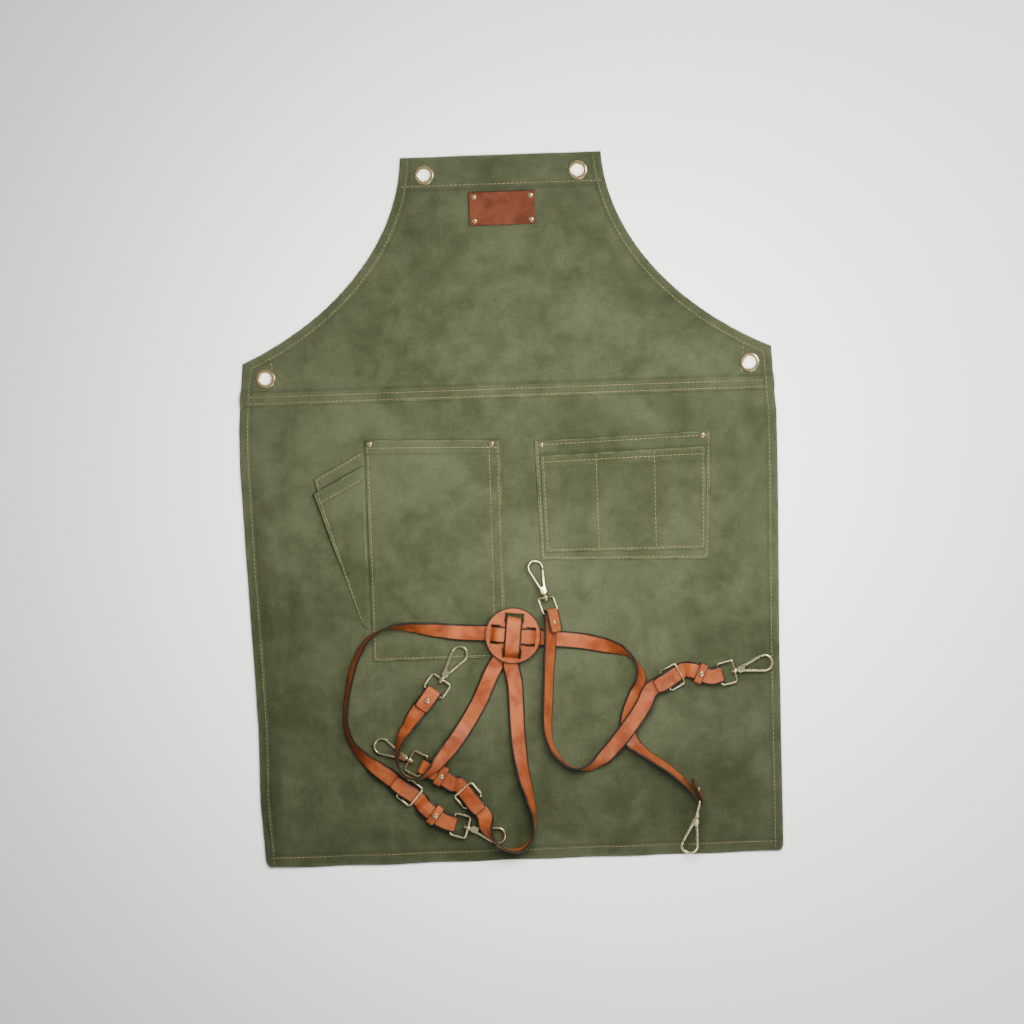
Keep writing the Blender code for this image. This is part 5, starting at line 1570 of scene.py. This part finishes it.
def add_bib(cloth, paint, stitches):
    points, ways = bib_outline()
    middle = np.linspace(-1, 1, 121)
    edge = np.array(EDGE_STEPS) * MM
    xs, ys, deep = [], [], []
    for p, way in zip(points, ways):
        near = [p + way * d for d in edge]
        inner = p + way * EDGE_BAND
        right_x = [q.x for q in near][::-1]
        right_y = [q.y for q in near][::-1]
        mid_x = middle * inner.x
        mid_y = np.full(len(middle), inner.y)
        xs.append(np.concatenate([[-q.x for q in near], mid_x, right_x]))
        ys.append(np.concatenate([[q.y for q in near], mid_y, right_y]))
        inner_depth = EDGE_BAND + (1 - np.abs(middle)) * inner.x
        deep.append(np.concatenate([edge, inner_depth, edge[::-1]]))
    x, y, depth = np.array(xs), np.array(ys), np.array(deep)
    x = x * widen(x, y)
    run = np.array([0.0] + [(b - a).length for a, b in zip(points, points[1:])]).cumsum()
    run = np.repeat(run[:, None], x.shape[1], 1)
    from_top, from_lap = TOP - y, y - (SEAM - SEAM_LAP / 2)
    hem = smooth_step((HEM + 0.4 * MM - depth) / (1.2 * MM))
    hem = np.maximum(hem, smooth_step((TOP_HEM - from_top) / (1.2 * MM)))
    patch = smooth_step((np.abs(x) - (HIP_WIDTH / 2 - CORNER_PATCH)) / MM)
    patch *= smooth_step((y - SEAM - SEAM_LAP / 2 - 5 * MM) / MM)
    hem = np.maximum(hem, patch)
    over = CLOTH + HEM_EXTRA + GAP
    lap = 1 - smooth_step((y - SEAM - SEAM_LAP / 2 - MM) / (3 * HEM_STEP))
    low = cloth.lift(x, y) + over * lap
    thick = CLOTH + HEM_EXTRA * hem
    side = pucker(depth - HEM_STITCH, run, 0.4)
    top_row = pucker(from_top - TOP_HEM + 3 * MM, x, 1.3)
    seam_row = pucker(y - SEAM, x, 2.1)
    from_eyelet = np.minimum.reduce([np.hypot(x - ex, y - ey) for ex, ey in EYELETS.values()])
    calm = smooth_step((from_eyelet - 11 * MM) / (5 * MM))
    gather = (side + top_row + seam_row) * calm
    high = low + thick + gather
    high -= dimple(depth - HEM_STITCH) + dimple(from_top - TOP_HEM + 3 * MM)
    high -= dimple(y - SEAM - SEAM_STITCH, deep=0.2 * MM) + dimple(y - SEAM + SEAM_STITCH, deep=0.2 * MM)
    roll = edge_roll(depth, thick)
    roll = np.maximum(roll, edge_roll(from_top, thick))
    roll = np.maximum(roll, edge_roll(from_lap, thick))
    high -= roll
    low = low + roll
    rub = np.exp(-((depth / (2.2 * MM)) ** 2)) + np.exp(-((from_top / (2.2 * MM)) ** 2))
    rub += 0.7 * np.exp(-((from_lap / (1.8 * MM)) ** 2))
    rub += 0.35 * np.exp(-(((depth - HEM) / (1.5 * MM)) ** 2))
    # Painted shade in a narrow line just past the side hems' and the top hem's steps
    shade = 0.8 * np.exp(-(((depth - HEM - 1.2 * MM) / (1.0 * MM)) ** 2))
    shade += 0.8 * np.exp(-(((from_top - TOP_HEM - 1.0 * MM) / (1.0 * MM)) ** 2))
    shape = (sheet_points(x, y, high, low), grid_faces(*x.shape))
    hole, seat = EYELET_HOLE_RADIUS + EYELET_WALL + GAP, EYELET_FLANGE_RADIUS + GAP
    pressed = EYELET_FLANGE + 2 * GAP
    profile = (
        (0, -CLOTH),
        (seat, -CLOTH),
        (seat, pressed),
        (hole, pressed),
        (hole, 4 * CLOTH),
        (0, 4 * CLOTH),
    )
    cutters = [moved(cap(profile, 40), Matrix.Translation((ex, ey, 0))) for ex, ey in EYELETS.values()]
    cut_points, cut_faces = combined(shape, joined(*cutters), "DIFFERENCE")
    # Rub and shade by place, for the points that the holes made too
    co = np.array([tuple(p) for p in cut_points])
    found = nearest(co[:, :2], np.stack([x.ravel(), y.ravel()], -1))
    attributes = {key: np.clip(v.ravel()[found], 0, 1) for key, v in (("rub", rub), ("shade", shade))}
    piece = new_piece("bib_look", cut_points, cut_faces, paint, 60, attributes)
    stand_for(piece, "apron", "bib_panel", slot="canvas")

    def height(px, py, extra=0.0):
        px, py = np.asarray(px, float), np.asarray(py, float)
        over_lap = 1 - smooth_step((py - SEAM - SEAM_LAP / 2 - MM) / (3 * HEM_STEP))
        return cloth.lift(px, py) + over * over_lap + CLOTH + extra

    # Armhole and side rows, both sides
    for sign in (-1, 1):
        line = []
        for p, way in zip(points, ways):
            q = p + way * HEM_STITCH
            if q.y < TOP - 3 * MM:
                px = float(sign * q.x * widen(sign * q.x, q.y))
                line.append((px, q.y, float(height(px, q.y, HEM_EXTRA)) - 0.05 * MM))
        stitches.line(line)
    for offset in (-SEAM_STITCH, SEAM_STITCH):
        px = np.linspace(-0.279, 0.279, 200)
        py = np.full(200, SEAM + offset)
        stitches.line(np.stack([px, py, height(px, py) + 0.05 * MM], -1))
    px = np.linspace(-0.108, 0.108, 60)
    py = np.full(60, TOP - TOP_HEM + 3 * MM)
    stitches.line(np.stack([px, py, height(px, py, HEM_EXTRA) - 0.05 * MM], -1))
    # The doubled corners behind the side eyelets
    for sign in (-1, 1):
        line = []
        for t in np.linspace(0, 1, 14):
            cx = sign * (HIP_WIDTH / 2 - CORNER_PATCH + 3 * MM + 4 * MM * t)
            cy = SEAM + SEAM_LAP / 2 + 6 * MM + t * 34 * MM
            line.append((cx, cy, float(height(cx, cy, HEM_EXTRA)) - 0.05 * MM))
        stitches.line(line)


def nearest(places, known):
    """The index of the nearest known place, by a coarse sort into cells."""
    size = 4 * MM
    keys = {}
    for i, (x, y) in enumerate(known):
        keys.setdefault((int(x // size), int(y // size)), []).append(i)
    found = np.zeros(len(places), int)
    for n, (x, y) in enumerate(places):
        cx, cy = int(x // size), int(y // size)
        best, index = 9.0, 0
        for reach in (1, 3):
            for i in range(cx - reach, cx + reach + 1):
                for j in range(cy - reach, cy + reach + 1):
                    for k in keys.get((i, j), ()):
                        d = (known[k][0] - x) ** 2 + (known[k][1] - y) ** 2
                        if d < best:
                            best, index = d, k
            if best < 9.0:
                break
        found[n] = index
    return found


def skirt_rows_y():
    length = LENGTH - BIB_LENGTH
    bottom = [0.0, 0.15, 0.4, 0.8, 1.6, 3.2, 5.2, 7.4, 9.0, 10.4, 11.6, 12.4, 13.4, 15.0]
    ys = [-TOP + d * MM for d in bottom]
    ys += list(np.linspace(-TOP + 18 * MM, SEAM + SEAM_LAP / 2 - 2 * MM, 142))
    ys.append(SEAM + SEAM_LAP / 2)
    return ys, length


def add_skirt(cloth, paint, stitches):
    ys, length = skirt_rows_y()
    edge = np.array(EDGE_STEPS) * MM
    middle = np.linspace(0, 1, 150)
    xs, yy, deep = [], [], []
    for y in ys:
        share = min(1, max(0, (SEAM - y) / length))
        left, right = -side_half(LEFT_SIDE, share), side_half(RIGHT_SIDE, share)
        rise = y + TOP
        # The bottom corners are a little round
        soften = 5 * MM * (1 - math.sqrt(1 - (1 - min(1, rise / (8 * MM))) ** 2))
        left, right = left + soften, right - soften
        lo, hi = left + EDGE_BAND, right - EDGE_BAND
        mid = lo + (hi - lo) * middle
        xs.append(np.concatenate([left + edge, mid, right - edge[::-1]]))
        yy.append(np.full(len(xs[-1]), y))
        deep.append(np.concatenate([edge, np.minimum(mid - left, right - mid), edge[::-1]]))
    x, y, depth = np.array(xs), np.array(yy), np.array(deep)
    from_bottom = y + TOP
    hem = smooth_step((HEM + 0.4 * MM - depth) / (1.2 * MM))
    hem = np.maximum(hem, smooth_step((12 * MM - from_bottom) / (1.2 * MM)))
    low = cloth.lift(x, y)
    thick = CLOTH + HEM_EXTRA * hem
    gather = pucker(depth - HEM_STITCH, y, 0.7) + pucker(from_bottom - BOTTOM_STITCH, x, 1.9)
    gather *= quiet(x, y, cloth.lines, pockets=False)
    high = low + thick + gather
    high -= dimple(depth - HEM_STITCH) + dimple(from_bottom - BOTTOM_STITCH)
    roll = np.maximum(edge_roll(depth, thick), edge_roll(from_bottom, thick))
    high -= roll
    low = low + roll
    rub = np.exp(-((depth / (2.2 * MM)) ** 2)) + np.exp(-((from_bottom / (2.4 * MM)) ** 2))
    rub += 0.35 * np.exp(-(((depth - HEM) / (1.5 * MM)) ** 2))
    # Painted shade in a narrow line just past the side hems' and the bottom hem's steps
    shade = 0.7 * np.exp(-(((depth - HEM - 1.2 * MM) / (1.0 * MM)) ** 2))
    shade += 0.7 * np.exp(-(((from_bottom - 13.2 * MM) / (1.0 * MM)) ** 2))
    # The bottom hem's line sways a little
    sway = (waves(x, y * 0.2, 0.11, 5) * 1.1 * MM) * np.exp(-from_bottom / 0.03)
    y_shown = y + sway * np.clip(1 - from_bottom / 0.06, 0, 1)
    points = sheet_points(x, y_shown, high, low)
    piece = new_piece("skirt_look", points, grid_faces(*x.shape), paint, 60, both_faces(rub=rub, shade=shade))
    stand_for(piece, "apron", "skirt_panel", slot="canvas")

    def height(px, py, extra):
        return cloth.lift(np.asarray(px, float), np.asarray(py, float)) + CLOTH + extra - 0.05 * MM

    for table, sign in ((LEFT_SIDE, -1), (RIGHT_SIDE, 1)):
        py = np.linspace(-TOP + 3 * MM, SEAM - SEAM_LAP / 2 - MM, 200)
        px = np.array([sign * (side_half(table, (SEAM - v) / length) - HEM_STITCH) for v in py])
        stitches.line(np.stack([px, py, height(px, py, HEM_EXTRA)], -1))
    px = np.linspace(-0.272, 0.272, 300)
    py = np.full(300, -TOP + BOTTOM_STITCH)
    zz = height(px, py, HEM_EXTRA)
    sway = waves(px, py * 0.2, 0.11, 5) * 1.1 * MM * math.exp(-10.4 / 30) * (1 - 10.4 / 60)
    stitches.line(np.stack([px, py + sway, zz], -1))


class Pocket:
    """A patch pocket between four corners: u across from the left, v up from the bottom."""

    def __init__(self, corners, low, bulge, settle=None, rows=()):
        self.corners = [Vector(c) for c in corners]
        self.low, self.bulge, self.settle = low, bulge, settle
        self.rows = rows
        tl, tr, br, bl = self.corners
        self.width = ((tr - tl).length + (br - bl).length) / 2
        self.depth = ((tl - bl).length + (tr - br).length) / 2

    def place(self, u, v):
        tl, tr, br, bl = self.corners
        x = (1 - v) * ((1 - u) * bl.x + u * br.x) + v * ((1 - u) * tl.x + u * tr.x)
        y = (1 - v) * ((1 - u) * bl.y + u * br.y) + v * ((1 - u) * tl.y + u * tr.y)
        return x, y

    def local_width(self, v):
        tl, tr, br, bl = self.corners
        return (1 - v) * (br - bl).length + v * (tr - tl).length

    def under(self, u, v):
        low = self.low + self.bulge * np.sin(math.pi * u) * v**3
        if self.settle:
            begin, end = self.settle
            low = low - (CLOTH + HEM_EXTRA + GAP) * smooth_step((begin - v) / (begin - end))
        return low

    def depths(self, u, v):
        width = self.local_width(v)
        return u * width, (1 - u) * width, v * self.depth, (1 - v) * self.depth

    def top(self, u, v, calm=1.0):
        mouth = self.depths(u, v)[3]
        thick = CLOTH + HEM_EXTRA * smooth_step((MOUTH_HEM - mouth) / (1.2 * MM))
        high = self.under(u, v) + thick
        for line in self.rows:
            (ua, va), (ub, vb) = line
            along = np.hypot((ub - ua) * self.width, (vb - va) * self.depth)
            du, dv = (u - ua) * self.width, (v - va) * self.depth
            wu, wv = (ub - ua) * self.width / along, (vb - va) * self.depth / along
            run = du * wu + dv * wv
            off = du * wv - dv * wu
            near = smooth_step((run + 2 * MM) / (2 * MM)) * smooth_step((along - run + 2 * MM) / (2 * MM))
            high = high - dimple(off, deep=0.22 * MM) * near
            high = high + pucker(off, run, ua * 7) * near * 0.7 * calm
        return high


# Steps in from a pocket's sewn edges, and steps down from its mouth across the hem
POCKET_EDGE = np.array([0.0, 0.2, 0.5, 0.9, 1.8, 2.8, 3.6]) * MM
POCKET_HEM = np.array([16.5, 15.2, 14.4, 13.6, 12.8, 11.6, 10.4, 8.6, 6.4, 4.2, 2.2, 1.0, 0.5, 0.2, 0.0]) * MM


def pocket_calm(x, y, lines):
    """1 where a pocket may ripple, 0 under the straps and hooks."""
    calm = np.ones_like(x)
    for line in lines:
        calm *= smooth_step((distance_to(x, y, line) - 13 * MM) / (14 * MM))
    return calm


def pocket_ripple(x, y, depths, calm, ripple):
    """How far a pocket's ripples lift it, less toward its sewn edges."""
    left, right, bottom, mouth = depths
    border = np.minimum(np.minimum(left, right), np.minimum(bottom, mouth + 4 * MM))
    soft = smooth_step((border - 4 * MM) / (16 * MM)) * calm
    wave = (0.6 + 0.9 * waves(x, y, 0.055, 11) + 0.3 * waves(x, y, 0.028, 4)) * ripple * MM
    return np.clip(wave, 0, None) * soft


def add_pocket(node, pocket, paint, stitches, lines, ripple=0.5):
    across, up = max(12, int(pocket.width / (2.6 * MM))), max(12, int(pocket.depth / (2.8 * MM)))
    edge_u, edge_v = POCKET_EDGE / pocket.width, POCKET_EDGE / pocket.depth
    inset = 5 * MM / pocket.width
    u = np.concatenate([edge_u, np.linspace(inset, 1 - inset, across), 1 - edge_u[::-1]])
    hem_v = 1 - POCKET_HEM / pocket.depth
    v = np.concatenate([edge_v, np.linspace(5 * MM / pocket.depth, 1 - 19 * MM / pocket.depth, up), hem_v])
    v = np.unique(np.round(v, 6))
    uu, vv = np.meshgrid(u, v)
    x, y = pocket.place(uu, vv)
    calm = pocket_calm(x, y, lines)
    depths = pocket.depths(uu, vv)
    mouth = depths[3]
    lift = pocket_ripple(x, y, depths, calm, ripple)
    low = pocket.under(uu, vv) + lift
    high = pocket.top(uu, vv, calm) + lift
    thick = CLOTH + HEM_EXTRA * smooth_step((MOUTH_HEM - mouth) / (1.2 * MM))
    rim = np.minimum.reduce(depths)
    roll = edge_roll(rim, thick)
    high = high - roll
    low = low + roll
    rub = np.exp(-((rim / (1.8 * MM)) ** 2)) + 0.35 * np.exp(-(((mouth - MOUTH_HEM) / (1.6 * MM)) ** 2))
    # Painted shade in a narrow line just below the mouth hem's step
    shade = 0.7 * np.exp(-(((mouth - MOUTH_HEM - 1.2 * MM) / (0.9 * MM)) ** 2))
    points, marks = sheet_points(x, y, high, low), both_faces(rub=rub, shade=shade)
    piece = new_piece(f"{node}_look", points, grid_faces(*x.shape), paint, 60, marks)
    stand_for(piece, "apron", node, slot="canvas")
    for (ua, va), (ub, vb) in pocket.rows:
        t = np.linspace(0, 1, 60)
        lu, lv = ua + (ub - ua) * t, va + (vb - va) * t
        px, py = pocket.place(lu, lv)
        calm_line = pocket_calm(px, py, lines)
        lift = pocket_ripple(px, py, pocket.depths(lu, lv), calm_line, ripple)
        pz = pocket.top(lu, lv, calm_line) + lift + 0.12 * MM
        stitches.line(np.stack([px, py, pz], -1))


def rows_of(pocket_corners, inset=2.8, mouth=11.4, extra=(), sides="lrb", second_right=None):
    """Stitch rows of a pocket as lines between (u, v) places, from insets in millimetres."""
    tl, tr, br, bl = (Vector(c) for c in pocket_corners)
    width = ((tr - tl).length + (br - bl).length) / 2
    depth = ((tl - bl).length + (tr - br).length) / 2
    iu, iv, mv = inset * MM / width, inset * MM / depth, 1 - mouth * MM / depth
    rows = []
    if "l" in sides:
        rows.append(((iu, iv), (iu, 1 - 1.5 * MM / depth)))
    if "r" in sides:
        rows.append(((1 - iu, iv), (1 - iu, 1 - 1.5 * MM / depth)))
    if "b" in sides:
        rows.append(((iu, iv), (1 - iu, iv)))
    if second_right:
        su = 1 - (inset + second_right) * MM / width
        rows.append(((su, iv), (su, 1 - 1.5 * MM / depth)))
    if mouth:
        rows.append(((iu, mv), (1 - iu, mv)))
    rows.extend(extra)
    return rows


def add_cloth(paints, lines):
    canvas, thread = paints["canvas"], paints["thread"]
    cloth = Cloth(lines)
    stitches = Stitches()
    add_bib(cloth, canvas, stitches)
    add_skirt(cloth, canvas, stitches)
    stitches.piece("stitches_main", thread)
    sewn = Stitches()
    second = ON_SKIRT + CLOTH + HEM_EXTRA + GAP
    left_rows = rows_of(LEFT_POCKET, mouth=8.5, second_right=9)
    back_rows = rows_of(SIDE_POCKET_BACK, mouth=2.6, sides="l")
    side_rows = rows_of(SIDE_POCKET, mouth=13, sides="l")
    rear_rows = rows_of(RIGHT_POCKET_BACK, mouth=4.8)
    dividers = (((0.335, 0.03), (0.335, 0.985)), ((0.690, 0.03), (0.690, 0.985)))
    right_rows = rows_of(RIGHT_POCKET, mouth=7.5, extra=dividers)
    settle, on_back = (0.60, 0.42), ON_SKIRT + CLOTH + GAP
    for node, pocket, under, ripple in (
        ("pocket_left", Pocket(LEFT_POCKET, ON_SKIRT, 2.5 * MM, rows=left_rows), "skirt_panel", 0.9),
        ("pocket_side_back", Pocket(SIDE_POCKET_BACK, ON_SKIRT, 0, rows=back_rows), "skirt_panel", 0.0),
        ("pocket_side", Pocket(SIDE_POCKET, second, 1.5 * MM, settle, side_rows), "pocket_side_back", 0.4),
        ("pocket_right_back", Pocket(RIGHT_POCKET_BACK, ON_SKIRT, 0, rows=rear_rows), "skirt_panel", 0.0),
        ("pocket_right", Pocket(RIGHT_POCKET, on_back, 2.5 * MM, rows=right_rows), "pocket_right_back", 0.6),
    ):
        add_pocket(node, pocket, canvas, sewn, lines, ripple)
    sewn.piece("stitches_pockets", thread)


def add_stage():
    reach = 12
    points = [(-reach, -reach, 0), (reach, -reach, 0), (reach, reach, 0), (-reach, reach, 0)]
    mesh = bpy.data.meshes.new("floor")
    mesh.from_pydata(points, [], [(0, 1, 2, 3)])
    p = Paint("floor_pale", 0.85)
    tone = p.ramp(p.noise(3.0, 2), 0.3, 0.7, 0.0, 0.12)
    colour = p.mix(tone, (0.86, 0.86, 0.85), (0.82, 0.82, 0.815))
    mesh.materials.append(p.finish(colour))
    floor = bpy.data.objects.new("floor", mesh)
    bpy.context.scene.collection.objects.link(floor)
    floor.location.z = -0.0002


def add_light(name, place, target, energy, size, colour=(1, 1, 1), glossy=True):
    light = bpy.data.lights.new(name, "AREA")
    light.energy, light.size, light.color = energy, size, colour
    made = bpy.data.objects.new(name, light)
    made.location = place
    way = Vector(target) - Vector(place)
    made.rotation_euler = way.to_track_quat("-Z", "Y").to_euler()
    made.visible_glossy = glossy
    bpy.context.scene.collection.objects.link(made)


def add_studio():
    world = bpy.data.worlds.new("studio")
    bpy.context.scene.world = world
    world.use_nodes = True
    back = world.node_tree.nodes["Background"]
    # White above, darker toward the horizon, so that wires and edges get dark sides
    tree = world.node_tree
    split = tree.nodes.new("ShaderNodeSeparateXYZ")
    tree.links.new(tree.nodes.new("ShaderNodeTexCoord").outputs["Generated"], split.inputs[0])
    ramp = tree.nodes.new("ShaderNodeValToRGB")
    ramp.color_ramp.elements[0].position = 0.10
    ramp.color_ramp.elements[0].color = (0.10, 0.10, 0.105, 1)
    ramp.color_ramp.elements[1].position = 0.75
    ramp.color_ramp.elements[1].color = (0.98, 0.99, 1.0, 1)
    tree.links.new(split.outputs["Z"], ramp.inputs[0])
    tree.links.new(ramp.outputs["Color"], back.inputs["Color"])
    back.inputs["Strength"].default_value = 0.40
    add_light("over", (0.06, 0.04, 0.54), (0.06, 0.04, 0), 13.5, 0.40, (1.0, 0.99, 0.97), False)
    add_light("key", (1.0, 0.60, 0.95), (0.10, 0.06, 0), 18, 0.55, (1.0, 0.985, 0.96))
    add_light("low", (0.9, -1.1, 0.9), (0.1, -0.1, 0), 9, 0.8)


def add_camera():
    camera = bpy.data.cameras.new("camera")
    made = bpy.data.objects.new("camera", camera)
    bpy.context.scene.collection.objects.link(made)
    high, span = 1.9, 1.1008
    camera.sensor_width = 36
    camera.lens = camera.sensor_width * high / span
    made.location = (-0.0007, -0.0054, high)
    made.rotation_euler = (0, 0, math.radians(-2.0))
    bpy.context.scene.camera = made


def main():
    for made in list(bpy.data.objects):
        if made.type in ("LIGHT", "CAMERA"):
            bpy.data.objects.remove(made)
    add_camera()
    paints = {
        "canvas": canvas_paint(),
        "strap": leather_paint("leather_tan", (0.240, 0.060, 0.0155)),
        "label": leather_paint("leather_label", (0.102, 0.027, 0.0095), 0.55),
        "brass": metal_paint("brass_bright", (0.86, 0.68, 0.36), 0.22),
        "steel": metal_paint("brass_pale", (0.82, 0.73, 0.44), 0.24),
        "thread": thread_paint(),
    }
    lines = strap_lines(*harness_lines())
    add_cloth(paints, lines)
    add_eyelets(paints["brass"])
    add_label(paints["label"], paints["brass"])
    add_pocket_rivets(paints["brass"])
    add_disc(paints["strap"])
    add_harness(paints)
    add_stage()
    add_studio()


main()
